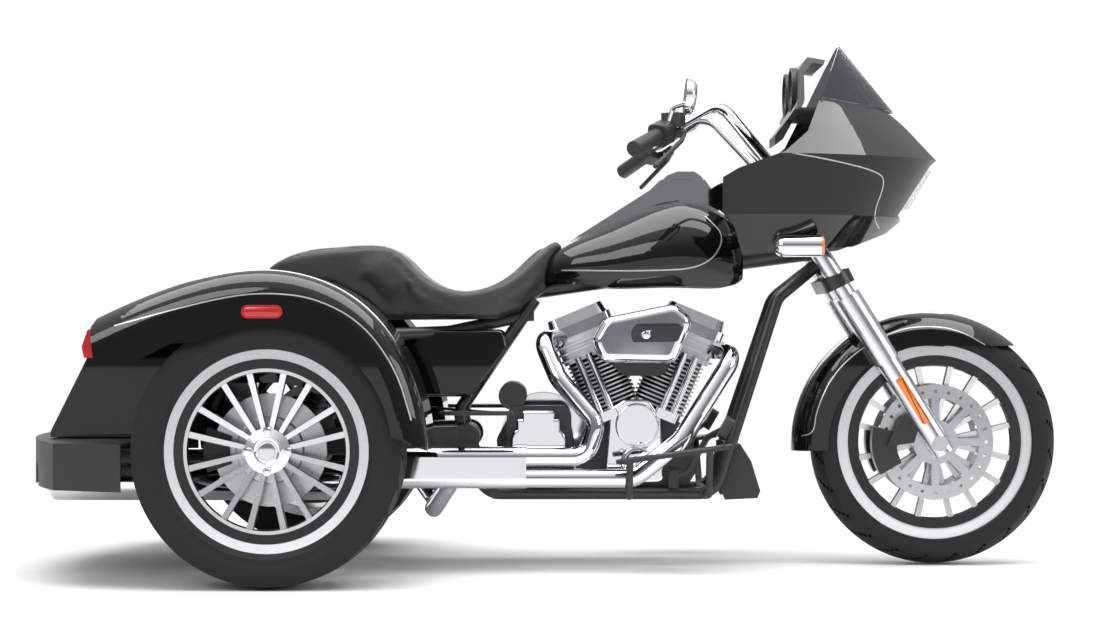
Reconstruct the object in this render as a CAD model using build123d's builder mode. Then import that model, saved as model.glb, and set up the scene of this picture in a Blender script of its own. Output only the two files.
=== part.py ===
"""Touring trike: one steered wheel in front, two driven wheels behind, an open V-twin engine, a
fixed nose fairing and a load trunk between wide rear fenders.

Millimetres. X forward, Y to the rider's left, Z up. The origin lies on the ground under the middle
of the machine. The rider's right side, with the exhaust and the air cleaner, is at negative Y.
"""

from build123d import *
import os
from math import cos, hypot, radians, sin, tan

# Whole machine
overall_length = 2643
fender_to_fender = 1390
wheelbase = 1670
rear_track = 1130
steering_rake = 26
fork_rake = 32
trail = 99
wall = 4
gap = 6

# Wheels and tyres
front_tyre_radius = 319.5
front_tyre_width = 130
front_rim_radius = 241
rear_tyre_radius = 325.5
rear_tyre_width = 215
rear_rim_radius = 229
front_rim_width = 92
rear_rim_width = 180
spoke_pairs = 8
spoke_width = 11
spoke_spread = 12.5
rim_lip = 12
rim_lip_thickness = 5

front_axle_x = overall_length / 2 - front_tyre_radius
rear_axle_x = front_axle_x - wheelbase
front_axle = (front_axle_x, 0, front_tyre_radius)
rear_wheel_y = rear_track / 2
rear_end_x = -overall_length / 2

# Engine
crank_x = 224
crank_z = 268
vee_half_angle = 22.5
bore_radius = 58
fin_count = 13
fin_pitch = 11
fin_thickness = 4
fin_reach = 24
barrel_start = 138
head_start = barrel_start + 18 + fin_count * fin_pitch
head_height = 66
rocker_height = 58
crankcase_half_width = 92

# Frame
frame_tube = 32
backbone_tube = 52
swing_pivot = (-215, 0, 335)
head_tube_radius = 29


def side_plane(y=0):
    """A plane seen from the rider's right: sketch x is X, sketch y is Z, and it faces -Y."""
    return Plane(origin=(0, y, 0), x_dir=(1, 0, 0), z_dir=(0, -1, 0))


def cross_plane(x=0):
    """A plane across the machine: sketch x is Y, sketch y is Z, and it faces +X."""
    return Plane(origin=(x, 0, 0), x_dir=(0, 1, 0), z_dir=(1, 0, 0))


def axle_plane(centre):
    """A plane through an axle, for profiles turned about it: sketch x is along the axle, y is up."""
    return Plane(origin=centre, x_dir=(0, 1, 0), z_dir=(1, 0, 0))


def wheel_plane(centre, y_offset=0):
    """A plane square to an axle, seen from the rider's right."""
    x, y, z = centre
    return Plane(origin=(x, y + y_offset, z), x_dir=(1, 0, 0), z_dir=(0, -1, 0))


# Steering geometry: the head tube leans back by the rake, and the yokes hold the legs steeper
steering_dir = Vector(-sin(radians(steering_rake)), 0, cos(radians(steering_rake)))
steering_foot = Vector(front_axle_x + trail, 0, 0)
fork_dir = Vector(-sin(radians(fork_rake)), 0, cos(radians(fork_rake)))
fork_half_spacing = 112


def steering_point(height):
    """The point of the steering axis at this height."""
    return steering_foot + steering_dir * (height / steering_dir.Z)


def fork_point(along, y=-fork_half_spacing):
    """The point of a fork leg's axis this far up from the axle."""
    return Vector(*front_axle) + fork_dir * along + Vector(0, y, 0)


# Tyres
def tyre_profile(width, radius, rim_radius, crown_drop, rim_width):
    """A tyre's section above the axle: beads seated on the rim, bulging walls and a crowned tread."""
    half, rim_half = width / 2, rim_width / 2
    shoulder = radius - crown_drop
    wall_height = shoulder - rim_radius
    wall_points = [
        (half, rim_radius + wall_height * 0.5),
        (half * 0.96, rim_radius + wall_height * 0.25),
        (rim_half, rim_radius + rim_lip),
        (rim_half - rim_lip_thickness, rim_radius + rim_lip),
        (rim_half - rim_lip_thickness, rim_radius),
    ]
    with BuildLine() as profile:
        crown = ThreePointArc((-half * 0.93, shoulder), (0, radius), (half * 0.93, shoulder))
        Polyline(crown @ 1, *wall_points, *[(-y, z) for y, z in reversed(wall_points)], crown @ 0)
    return profile.line


with BuildPart() as front_tyre:
    with BuildSketch(axle_plane(front_axle)):
        make_face(tyre_profile(front_tyre_width, front_tyre_radius, front_rim_radius, 26, front_rim_width))
    revolve(axis=Axis(front_axle, (0, 1, 0)))


# Cast wheels: barrel, outer lips, hub and pairs of thin spokes cut to a dished section
def spoke_outline(middle, side, hub_radius, rim_inner_radius):
    """One tapered spoke seen from the side: its pair's middle angle, and which of the pair it is."""
    inner = Vector(hub_radius, side * spoke_width * 0.75).rotate(Axis.Z, middle)
    outer = Vector(rim_inner_radius, 0).rotate(Axis.Z, middle + side * spoke_spread)
    along = (outer - inner).normalized()
    across = Vector(-along.Y, along.X) * spoke_width
    root, tip = inner - along * spoke_width, outer + along * spoke_width
    with BuildLine() as outline:
        Polyline(
            root + across * 0.5, tip + across * 0.7, tip - across * 0.7, root - across * 0.5, close=True
        )
    return outline.line


def cast_wheel(centre, outward, rim_radius, rim_width, hub, dish, axle_bore, hub_cap=0):
    """A cast wheel: outward is -1 when its face looks to the rider's right and +1 to the left.
    hub is (radius, inner end, outer end), dish is (face at the hub, face at the rim, depth)."""
    hub_radius, hub_inner, hub_outer = hub
    face_hub, face_rim, spoke_depth = dish
    half = rim_width / 2
    barrel_wall = 6
    lip = 22
    well = 16
    inner_radius = rim_radius - well - barrel_wall
    with BuildPart() as wheel:
        with BuildSketch(wheel_plane(centre, half)):
            for pair in range(spoke_pairs):
                for side in (-1, 1):
                    make_face(spoke_outline(pair * 360 / spoke_pairs, side, hub_radius, inner_radius))
        extrude(amount=rim_width)
        with BuildSketch(axle_plane(centre)) as dish_section:
            with BuildLine():
                Polyline(
                    (outward * face_hub, 0),
                    (outward * face_hub, hub_radius),
                    (outward * face_rim, inner_radius),
                    (outward * face_rim, inner_radius + barrel_wall / 2),
                    (outward * (face_rim - spoke_depth), inner_radius + barrel_wall / 2),
                    (outward * (face_rim - spoke_depth), inner_radius),
                    (outward * (face_hub - spoke_depth), hub_radius),
                    (outward * (face_hub - spoke_depth), 0),
                    close=True,
                )
            make_face()
        revolve(axis=Axis(centre, (0, 1, 0)), mode=Mode.INTERSECT)
        with BuildSketch(axle_plane(centre)) as barrel_section:
            with BuildLine():
                Polyline(
                    (-half, rim_radius + rim_lip),
                    (-half, inner_radius + 10),
                    (-half * 0.6, inner_radius),
                    (half * 0.6, inner_radius),
                    (half, inner_radius + 10),
                    (half, rim_radius + rim_lip),
                    (half - rim_lip_thickness, rim_radius + rim_lip),
                    (half - rim_lip_thickness, rim_radius),
                    (rim_lip_thickness - half, rim_radius),
                    (rim_lip_thickness - half, rim_radius + rim_lip),
                    close=True,
                )
            make_face()
        revolve(axis=Axis(centre, (0, 1, 0)))
        with BuildSketch(axle_plane(centre)) as face_ring_section:
            with BuildLine():
                Polyline(
                    (outward * (half - 12), inner_radius + 2),
                    (outward * (half - 12), inner_radius - lip),
                    (outward * (half - 2), inner_radius - lip + 3),
                    (outward * half, rim_radius + rim_lip),
                    (outward * (half - rim_lip_thickness), rim_radius + rim_lip),
                    (outward * (half - rim_lip_thickness), rim_radius),
                    close=True,
                )
            make_face()
        revolve(axis=Axis(centre, (0, 1, 0)))
        with BuildSketch(axle_plane(centre)) as hub_section:
            with BuildLine():
                Polyline(
                    (outward * hub_inner, axle_bore),
                    (outward * hub_inner, hub_radius * 0.8),
                    (outward * (hub_outer - 22), hub_radius + 4),
                    (outward * (hub_outer - 8), hub_radius + 4),
                    (outward * hub_outer, hub_radius * 0.7),
                    (outward * hub_outer, axle_bore),
                    close=True,
                )
            make_face()
        revolve(axis=Axis(centre, (0, 1, 0)))
        with BuildSketch(wheel_plane(centre, half)):
            Circle(axle_bore)
        extrude(amount=rim_width, mode=Mode.SUBTRACT)
        if hub_cap:
            with BuildSketch(wheel_plane(centre, outward * (hub_outer - hub_cap / 2) + hub_cap / 2)):
                Circle(hub_radius * 0.7)
            extrude(amount=hub_cap)
    return wheel


front_axle_radius = 12.5
front_rim = cast_wheel(
    front_axle,
    -1,
    front_rim_radius,
    front_rim_width,
    hub=(48, -44, 44),
    dish=(34, 44, 26),
    axle_bore=front_axle_radius + 0.5,
)

# Front brake discs on their carriers, bolted to the hub's two faces
disc_outer, disc_inner, disc_thickness = 150, 114, 5
disc_y = 58
carrier_arms = 8
with BuildPart() as front_discs:
    with BuildSketch(wheel_plane(front_axle, -disc_y)):
        Circle(disc_outer)
        Circle(disc_inner, mode=Mode.SUBTRACT)
        with PolarLocations((disc_outer + disc_inner) / 2, 24):
            Circle(4.5, mode=Mode.SUBTRACT)
        with PolarLocations((disc_inner + 46) / 2 - 2, carrier_arms):
            Rectangle(disc_inner - 44 + 10, 20)
        Circle(58)
        Circle(30, mode=Mode.SUBTRACT)
    extrude(amount=disc_thickness)
    with BuildSketch(wheel_plane(front_axle, -44)):
        Circle(46)
        Circle(30, mode=Mode.SUBTRACT)
    extrude(amount=disc_y - 44)
    mirror(about=Plane.XZ)


# Rear wheels: one car-width tyre, cast wheel and brake disc on each end of the axle
def rear_wheel(side):
    """side is -1 on the rider's right and +1 on the left."""
    centre = (rear_axle_x, side * rear_wheel_y, rear_tyre_radius)
    with BuildPart() as tyre:
        with BuildSketch(axle_plane(centre)):
            make_face(tyre_profile(rear_tyre_width, rear_tyre_radius, rear_rim_radius, 7, rear_rim_width))
        revolve(axis=Axis(centre, (0, 1, 0)))
    rim = cast_wheel(
        centre,
        side,
        rear_rim_radius,
        rear_rim_width,
        hub=(50, 20, 78),
        dish=(68, 88, 34),
        axle_bore=spindle_radius + 0.05,
        hub_cap=10,
    )
    with BuildPart() as disc:
        with BuildSketch(wheel_plane(centre, side * 4 + 6)):
            Circle(rear_disc_radius)
            Circle(34, mode=Mode.SUBTRACT)
        extrude(amount=12)
        with BuildSketch(axle_plane(centre)):
            with BuildLine():
                Polyline((side * 10, 34), (side * 10, 82), (side * 18, 78), (side * 20, 34), close=True)
            make_face()
        revolve(axis=Axis(centre, (0, 1, 0)))
    return tyre, rim, disc


rear_disc_radius = 135
spindle_radius = 16
rear_tyre_right, rear_rim_right, rear_disc_right = rear_wheel(-1)
rear_tyre_left, rear_rim_left, rear_disc_left = rear_wheel(1)

# Fork: two legs joined by the wheel axle, each a slider, a wider cover above it and a bare tube
slider_radius, cover_radius, tube_radius = 29, 34, 24.5
slider_top, cover_top = 250, 446
lower_yoke_z, upper_yoke_z = 738, 905
yoke_thickness = 34
fork_top = (upper_yoke_z - front_tyre_radius) / fork_dir.Z + 22
with BuildPart() as fork_legs:
    for start, end, radius in (
        (-30, slider_top, slider_radius),
        (slider_top, cover_top, cover_radius),
        (cover_top, fork_top, tube_radius),
    ):
        with BuildSketch(Plane(origin=fork_point(start), z_dir=fork_dir)):
            Circle(radius)
        extrude(amount=end - start)
    with BuildSketch(wheel_plane(front_axle, -fork_half_spacing - slider_radius - 3)):
        Circle(20)
    extrude(amount=-slider_radius)
    with Locations(Plane(origin=fork_point(118), z_dir=fork_dir)):
        Box(26, 2 * slider_radius - 20, 90)
    mirror(about=Plane.XZ)
    with BuildSketch(wheel_plane(front_axle, -fork_half_spacing)):
        Circle(front_axle_radius)
    extrude(amount=-2 * fork_half_spacing)

# Yokes and stem that turn in the frame's head tube
stem_radius = 17
with BuildPart() as yokes:
    for height in (lower_yoke_z, upper_yoke_z):
        centre = steering_point(height)
        leg = fork_point((height - front_tyre_radius) / fork_dir.Z, 0)
        with BuildSketch(Plane(origin=centre, x_dir=(0, 1, 0), z_dir=steering_dir)):
            Circle(head_tube_radius + 8)
            ahead = (leg - centre).dot(Vector(cos(radians(steering_rake)), 0, sin(radians(steering_rake))))
            with Locations((-fork_half_spacing, -ahead), (fork_half_spacing, -ahead)):
                Circle(cover_radius + 7)
            make_hull()
        extrude(amount=yoke_thickness / 2, both=True)
    lower, upper = steering_point(lower_yoke_z), steering_point(upper_yoke_z)
    with BuildSketch(Plane(origin=lower, z_dir=steering_dir)):
        Circle(stem_radius)
    extrude(amount=(upper - lower).length)
    for side in (-1, 1):
        with BuildSketch(Plane(origin=fork_point(cover_top - 60, side * fork_half_spacing), z_dir=fork_dir)):
            Circle(cover_radius)
        extrude(amount=fork_top - cover_top + 80, mode=Mode.SUBTRACT)
        clamp_foot = upper + Vector(0, side * 60, 0)
        with BuildSketch(Plane(origin=clamp_foot, z_dir=steering_dir)):
            Circle(20)
        extrude(amount=58)

# Handlebar: tube risers from the clamps, a bend at the top and bars sloping back to the grips
bar_radius = 16
bar_clamp = upper + steering_dir * 56
bar_points = [
    (bar_clamp.X, 0, bar_clamp.Z),
    (bar_clamp.X, -112, bar_clamp.Z),
    (427, -200, 1192),
    (296, -290, 1112),
    (208, -432, 1056),
]
with BuildPart() as handlebar:
    with BuildLine() as bar_path:
        FilletPolyline(*bar_points, radius=[50, 60, 70])
    with BuildSketch(Plane(origin=bar_path.line @ 0, z_dir=bar_path.line % 0)):
        Circle(bar_radius)
    sweep()
    mirror(about=Plane.XZ)

with yokes:
    add(handlebar.part, mode=Mode.SUBTRACT)

# Grips, switch housings, brake and clutch reservoirs and levers around the bar's ends
grip_radius = 20
bar_end, bar_bend = Vector(*bar_points[-1]), Vector(*bar_points[-2])
grip_dir = (bar_bend - bar_end).normalized()
with BuildPart() as hand_controls:
    with BuildSketch(Plane(origin=bar_end - grip_dir * 6, z_dir=grip_dir)):
        Circle(grip_radius)
    extrude(amount=126)
    with BuildSketch(Plane(origin=bar_end + grip_dir * 118, x_dir=(1, 0, 0), z_dir=grip_dir)):
        RectangleRounded(54, 56, 14)
    extrude(amount=46)
    reservoir_plane = Plane(origin=bar_end + grip_dir * 170 + Vector(16, 0, 10), x_dir=grip_dir, z_dir=(0, 0, 1))
    with BuildSketch(reservoir_plane):
        RectangleRounded(44, 54, 10)
    extrude(amount=34)
    lever_start = bar_end + grip_dir * 172 + Vector(42, -6, -8)
    with BuildLine() as lever_path:
        FilletPolyline(
            lever_start,
            lever_start + Vector(-10, -52, -22),
            bar_end + Vector(60, -2, -34),
            bar_end + Vector(48, -24, -46),
            radius=[20, 16],
        )
    with BuildSketch(Plane(origin=lever_path.line @ 0, z_dir=lever_path.line % 0)):
        Circle(6)
    sweep()
    mount_start = bar_end + grip_dir * 168 + Vector(8, 0, 0)
    with BuildSketch(Plane(origin=mount_start, z_dir=lever_start - mount_start)):
        Circle(12)
    extrude(amount=(lever_start - mount_start).length + 4)
    add(handlebar.part, mode=Mode.SUBTRACT)
    mirror(about=Plane.XZ)

# Mirrors on short stems above the switch housings
mirror_centre = Vector(332, -402, 1186)
with BuildPart() as mirrors:
    with BuildSketch(Plane(origin=mirror_centre, x_dir=(0, 1, 0), z_dir=(1, 0, -0.1))):
        Ellipse(76, 47)
    extrude(amount=26)
    fillet(mirrors.faces().sort_by(Axis.X)[-1].edges(), 18)
    with BuildLine() as stem_path:
        FilletPolyline(
            bar_end + grip_dir * 150 + Vector(14, 0, 30),
            bar_end + grip_dir * 150 + Vector(24, -8, 62),
            mirror_centre + Vector(10, 10, -14),
            radius=18,
        )
    with BuildSketch(Plane(origin=stem_path.line @ 0, z_dir=stem_path.line % 0)):
        Circle(6)
    sweep()
    add(hand_controls.part, mode=Mode.SUBTRACT)
    mirror(about=Plane.XZ)

# Front fender: a crowned channel turned about a centre a little behind and below the axle
fender_shift = Vector(-18, 0, -12)
fender_radius = 352
fender_half_width = 76
fender_skin = 3
fender_lip_radius = 262
fender_front_angle, fender_rear_angle = 49, 182


def fender_channel(skin):
    """The fender's section outside (skin 0) or inside, lips at the bottom, crown on top."""
    half, crown = fender_half_width - skin, fender_radius - skin
    with BuildLine() as channel:
        Line((half, fender_lip_radius), (half, fender_radius - 46))
        ThreePointArc((half, fender_radius - 46), (0, crown), (-half, fender_radius - 46))
        Line((-half, fender_radius - 46), (-half, fender_lip_radius))
        Line((-half, fender_lip_radius), (half, fender_lip_radius))
    return channel.line


fender_centre = Vector(*front_axle) + fender_shift
with BuildPart() as front_fender:
    start = radians(fender_front_angle)
    with BuildSketch(
        Plane(origin=fender_centre, x_dir=(0, 1, 0), z_dir=(sin(start), 0, -cos(start)))
    ) as fender_section:
        make_face(fender_channel(0))
        make_face(fender_channel(fender_skin), mode=Mode.SUBTRACT)
    revolve(axis=Axis(fender_centre, (0, -1, 0)), revolution_arc=fender_rear_angle - fender_front_angle)
    with BuildSketch(side_plane(fender_half_width)):
        with BuildLine():
            Polyline(
                (front_axle_x + 20, front_tyre_radius + 250),
                (front_axle_x + 380, front_tyre_radius + 250),
                (front_axle_x + 380, front_tyre_radius),
                (front_axle_x + 20, front_tyre_radius),
                close=True,
            )
        make_face()
    extrude(amount=2 * fender_half_width, mode=Mode.SUBTRACT)

# Front brake calipers behind the legs, over the discs
caliper_angle = 188
with BuildPart() as front_calipers:
    caliper_plane = wheel_plane(front_axle, -disc_y + 14)
    with BuildSketch(caliper_plane):
        with BuildLine():
            inner_arc = CenterArc((0, 0), 104, caliper_angle - 22, 44)
            outer_arc = CenterArc((0, 0), 168, caliper_angle - 22, 44)
            Line(inner_arc @ 0, outer_arc @ 0)
            Line(inner_arc @ 1, outer_arc @ 1)
        make_face()
    extrude(amount=38)
    with BuildSketch(wheel_plane(front_axle, -disc_y + 3)):
        Circle(disc_outer + gap)
    extrude(amount=disc_thickness + 6, mode=Mode.SUBTRACT)
    with BuildSketch(wheel_plane(front_axle, -disc_y - 24)):
        with BuildLine():
            Polyline((-130, -10), (-100, 60), (-52, 92), (-40, 66), (-60, 0), close=True)
        make_face()
    extrude(amount=14)
    add(fork_legs.part, mode=Mode.SUBTRACT)
    mirror(about=Plane.XZ)

# Main frame: head tube, backbone, and on each side a downtube, cradle rail, upright and seat rail
head_low, head_high = steering_point(lower_yoke_z + 26), steering_point(upper_yoke_z - 26)
frame_y = 112
cradle_z = 190
shock_cross = (-516, -300, 596)
frame_runs = [
    # (points, bend radius)
    (
        [
            (head_low.X - 14, -24, head_low.Z + 30),
            (590, -74, 694),
            (470, -frame_y, 330),
            (425, -frame_y, cradle_z),
            (-170, -frame_y, cradle_z),
            (-236, -frame_y, 400),
            (-40, -62, 690),
        ],
        [60, 120, 60, 60, 50],
    ),
    ([(-64, -62, 648), (-260, -130, 606), (shock_cross[0], -200, shock_cross[2]), shock_cross], [120, 40]),
]
with BuildPart() as main_frame:
    for points, bends in frame_runs:
        with BuildLine() as run_path:
            FilletPolyline(*points, radius=bends[: len(points) - 2])
        with BuildSketch(Plane(origin=run_path.line @ 0, z_dir=run_path.line % 0)):
            Circle(frame_tube / 2)
        sweep()
    for x, z, radius in ((400, cradle_z, 14), (-140, cradle_z, 14), (swing_pivot[0], swing_pivot[2], 30)):
        with BuildSketch(side_plane(frame_y + 21)):
            with Locations((x, z)):
                Circle(radius)
        extrude(amount=frame_y + 21)
    mirror(about=Plane.XZ)
    with BuildLine() as backbone_path:
        FilletPolyline((head_low + head_high) * 0.5, (330, 0, 772), (-84, 0, 712), radius=200)
    with BuildSketch(Plane(origin=backbone_path.line @ 0, z_dir=backbone_path.line % 0)):
        Circle(backbone_tube / 2)
    sweep()
    with BuildSketch(Plane(origin=head_low, z_dir=steering_dir)):
        Circle(head_tube_radius)
    extrude(amount=(head_high - head_low).length)
    with BuildSketch(Plane(origin=head_low, z_dir=steering_dir)):
        Circle(stem_radius + 0.5)
    extrude(amount=(head_high - head_low).length + 10, both=True, mode=Mode.SUBTRACT)
    with Locations((-64, 0, 664)):
        Box(44, 150, 60)

# Rear axle: differential case, axle tubes and a swingarm from the frame's pivot
rear_axle = (rear_axle_x, 0, rear_tyre_radius)
arm_width = 38
arm_y = frame_y + frame_tube / 2 + 5 + arm_width / 2
with BuildPart() as rear_axle_housing:
    with BuildSketch(axle_plane(rear_axle)):
        with BuildLine():
            Polyline(
                (-rear_wheel_y + 42, 0),
                (-rear_wheel_y + 42, 60),
                (-rear_wheel_y + 62, 60),
                (-rear_wheel_y + 80, 34),
                (-130, 34),
                (-100, 104),
                (40, 104),
                (56, 34),
                (rear_wheel_y - 80, 34),
                (rear_wheel_y - 62, 60),
                (rear_wheel_y - 42, 60),
                (rear_wheel_y - 42, 0),
                close=True,
            )
        make_face()
    revolve(axis=Axis(rear_axle, (0, 1, 0)))
    with BuildSketch(side_plane(rear_wheel_y + 62)):
        with Locations((rear_axle_x, rear_tyre_radius)):
            Circle(spindle_radius)
    extrude(amount=2 * (rear_wheel_y + 62))
    for side in (-1, 1):
        arm_front = Vector(swing_pivot[0] - 20, side * arm_y, swing_pivot[2])
        arm_rear = Vector(rear_axle_x, side * 210, rear_tyre_radius)
        with BuildSketch(Plane(origin=arm_front, x_dir=(0, 1, 0), z_dir=arm_rear - arm_front)):
            RectangleRounded(arm_width, 68, 8)
        extrude(amount=(arm_rear - arm_front).length)
        with BuildSketch(side_plane(side * arm_y + arm_width / 2)):
            with Locations((swing_pivot[0], swing_pivot[2])):
                Circle(36)
        extrude(amount=arm_width)

# Shock absorbers between the axle and the body
shock_foot, shock_top = Vector(rear_axle_x + 48, -286, 352), Vector(shock_cross[0], -286, shock_cross[2])
shock_dir = (shock_top - shock_foot).normalized()
with BuildPart() as rear_shocks:
    shock_length = (shock_top - shock_foot).length
    with BuildSketch(Plane(origin=shock_foot, z_dir=shock_dir)):
        Circle(22)
    extrude(amount=shock_length)
    for coil in range(9):
        with BuildSketch(Plane(origin=shock_foot + shock_dir * (36 + coil * 16), z_dir=shock_dir)):
            Circle(34)
        extrude(amount=9)
    for carrier in (main_frame, rear_axle_housing):
        add(carrier.part, mode=Mode.SUBTRACT)
    mirror(about=Plane.XZ)


# Engine: crankcase, two finned cylinders in a narrow V, rocker boxes, pushrods and covers
def cylinder_plane(lean, along):
    """A plane square to a cylinder's axis. lean is +1 for the front cylinder and -1 for the rear;
    sketch x runs along Y and sketch y fore and aft."""
    angle = radians(vee_half_angle) * lean
    direction = Vector(sin(angle), 0, cos(angle))
    return Plane(origin=Vector(crank_x, 0, crank_z) + direction * along, x_dir=(0, 1, 0), z_dir=direction)


deck_half = 64
deck_x, deck_z = sin(radians(vee_half_angle)), cos(radians(vee_half_angle))
with BuildPart() as crankcase:
    with BuildSketch(side_plane(crankcase_half_width)) as case_outline:
        with BuildLine():
            Polyline(
                (crank_x - 118, 186),
                (crank_x - 158, 250),
                (crank_x - 138, 330),
                (crank_x - barrel_start * deck_x - deck_half * deck_z, crank_z + barrel_start * deck_z - deck_half * deck_x),
                (crank_x, crank_z + barrel_start / deck_z),
                (crank_x + barrel_start * deck_x + deck_half * deck_z, crank_z + barrel_start * deck_z - deck_half * deck_x),
                (crank_x + 144, 330),
                (crank_x + 158, 250),
                (crank_x + 118, 186),
                close=True,
            )
        make_face()
    extrude(amount=2 * crankcase_half_width)
    fillet(crankcase.edges().filter_by(Axis.Y).sort_by(Axis.Z)[:4], 26)

with BuildPart() as cylinders:
    for lean in (-1, 1):
        with BuildSketch(cylinder_plane(lean, barrel_start)):
            Circle(bore_radius + 8)
        extrude(amount=head_start - barrel_start)
        for fin in range(fin_count):
            with BuildSketch(cylinder_plane(lean, barrel_start + 16 + fin * fin_pitch)):
                RectangleRounded(2 * (bore_radius + fin_reach) - 8, 2 * (bore_radius + fin_reach) - 22, 34)
            extrude(amount=fin_thickness)
        with BuildSketch(cylinder_plane(lean, head_start)):
            RectangleRounded(164, 152, 22)
        extrude(amount=head_height)
        for fin in range(3):
            with BuildSketch(cylinder_plane(lean, head_start + 8 + fin * 18)):
                RectangleRounded(176, 170, 24)
            extrude(amount=5)
    # The two barrels lean together at the bottom, so each gives way at the middle plane
    with Locations((crank_x, 0, crank_z + barrel_start + 20)):
        Box(3, 400, 240, mode=Mode.SUBTRACT)

rocker_start = head_start + head_height
with BuildPart() as rocker_boxes:
    for lean in (-1, 1):
        with BuildSketch(cylinder_plane(lean, rocker_start)):
            RectangleRounded(170, 172, 20)
        extrude(amount=rocker_height * 0.5)
        with BuildSketch(cylinder_plane(lean, rocker_start + rocker_height * 0.5)):
            RectangleRounded(150, 160, 24)
        extrude(amount=rocker_height * 0.5, taper=12)

with BuildPart() as pushrod_tubes:
    for lean in (-1, 1):
        with BuildSketch(cylinder_plane(lean, barrel_start - 8)):
            with Locations((-crankcase_half_width - 14, -lean * 22)):
                RectangleRounded(26, 62, 6)
        extrude(amount=24)
        with BuildSketch(cylinder_plane(lean, barrel_start)):
            with Locations((-crankcase_half_width - 12, -lean * 22 - 15), (-crankcase_half_width - 12, -lean * 22 + 15)):
                Circle(9)
        extrude(amount=head_start - barrel_start + 10)

cam_x, cam_z = crank_x, crank_z + 98
cam_face = crankcase_half_width + 34
with BuildPart() as engine_covers:
    with BuildSketch(side_plane(-crankcase_half_width)) as cam_outline:
        with BuildLine():
            Polyline(
                (cam_x - 84, crank_z - 54),
                (cam_x - 70, cam_z + 42),
                (cam_x - 30, cam_z + 66),
                (cam_x + 30, cam_z + 66),
                (cam_x + 62, cam_z + 20),
                (cam_x + 70, crank_z - 50),
                close=True,
            )
        make_face()
        fillet(cam_outline.vertices(), 18)
    extrude(amount=26)
    fillet(engine_covers.faces().sort_by(Axis.Y)[0].edges(), 6)
    with BuildSketch(side_plane(-crankcase_half_width - 20)):
        with Locations((cam_x, cam_z)):
            Circle(56)
    extrude(amount=20)
    fillet(engine_covers.faces().sort_by(Axis.Y)[0].edges(), 5)
with pushrod_tubes:
    for neighbour in (cylinders, crankcase, engine_covers):
        add(neighbour.part, mode=Mode.SUBTRACT)

gearbox_x, gearbox_z = -28, 330
gearbox_half_width = 104
gearbox_left_y = 60
with BuildPart() as gearbox:
    with BuildSketch(side_plane(gearbox_left_y)) as gearbox_outline:
        with BuildLine():
            Polyline((-128, 222), (-138, 330), (-96, 404), (46, 404), (62, 330), (62, 222), close=True)
        make_face()
        fillet(gearbox_outline.vertices(), 20)
    extrude(amount=gearbox_half_width + gearbox_left_y)
    with BuildSketch(side_plane(-gearbox_half_width)) as cover_seat:
        with Locations((gearbox_x, gearbox_z + 12)):
            RectangleRounded(166, 150, 30)
    extrude(amount=44)
    with BuildSketch(side_plane(0)):
        with Locations((-96, 442)):
            Circle(36)
    extrude(amount=gearbox_half_width + 40)

primary_y = crankcase_half_width
clutch_x, clutch_z = -18, 332
primary_front_radius = 74
with BuildPart() as primary_cover:
    with BuildSketch(side_plane(primary_y + 84)):
        with Locations((crank_x, crank_z + 16)):
            Circle(primary_front_radius)
        with Locations((clutch_x, clutch_z)):
            Circle(112)
        make_hull()
    extrude(amount=84)
    fillet(primary_cover.faces().sort_by(Axis.Y)[-1].edges(), 16)
    with BuildSketch(side_plane(primary_y + 92)):
        with Locations((clutch_x, clutch_z)):
            Circle(74)
        with Locations((crank_x, crank_z + 16)):
            Circle(50)
    extrude(amount=12)

with BuildPart() as gearbox_side_cover:
    cover_y = -gearbox_half_width - 44
    with BuildSketch(side_plane(cover_y)) as side_cover_outline:
        with Locations((gearbox_x - 2, gearbox_z - 8)):
            RectangleRounded(140, 78, 30)
        with Locations((gearbox_x - 2, gearbox_z + 34)):
            RectangleRounded(112, 40, 8)
        with Locations((gearbox_x - 2, gearbox_z + 58)):
            RectangleRounded(84, 34, 8)
    extrude(amount=26)
    fillet(gearbox_side_cover.faces().sort_by(Axis.Y)[0].edges(), 7)
    with BuildSketch(side_plane(cover_y - 22)):
        with Locations((gearbox_x - 2, gearbox_z - 18)):
            SlotOverall(116, 40)
    extrude(amount=10, mode=Mode.SUBTRACT)

# Air cleaner: a black base plate on the intake and a chromed teardrop cover
cleaner_x, cleaner_z = 232, 590
cleaner_y = -112
with BuildPart() as air_cleaner_base:
    with BuildSketch(side_plane(cleaner_y)) as base_outline:
        with BuildLine():
            Polyline(
                (cleaner_x - 118, cleaner_z - 34),
                (cleaner_x - 84, cleaner_z + 52),
                (cleaner_x + 84, cleaner_z + 84),
                (cleaner_x + 134, cleaner_z + 52),
                (cleaner_x + 60, cleaner_z - 96),
                (cleaner_x - 40, cleaner_z - 96),
                close=True,
            )
        make_face()
        fillet(base_outline.vertices(), 24)
    extrude(amount=72)
    with BuildSketch(side_plane(0)):
        with Locations((crank_x, cleaner_z + 4)):
            Circle(34)
    extrude(amount=-cleaner_y)
    add(cylinders.part, mode=Mode.SUBTRACT)
    add(rocker_boxes.part, mode=Mode.SUBTRACT)

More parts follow.
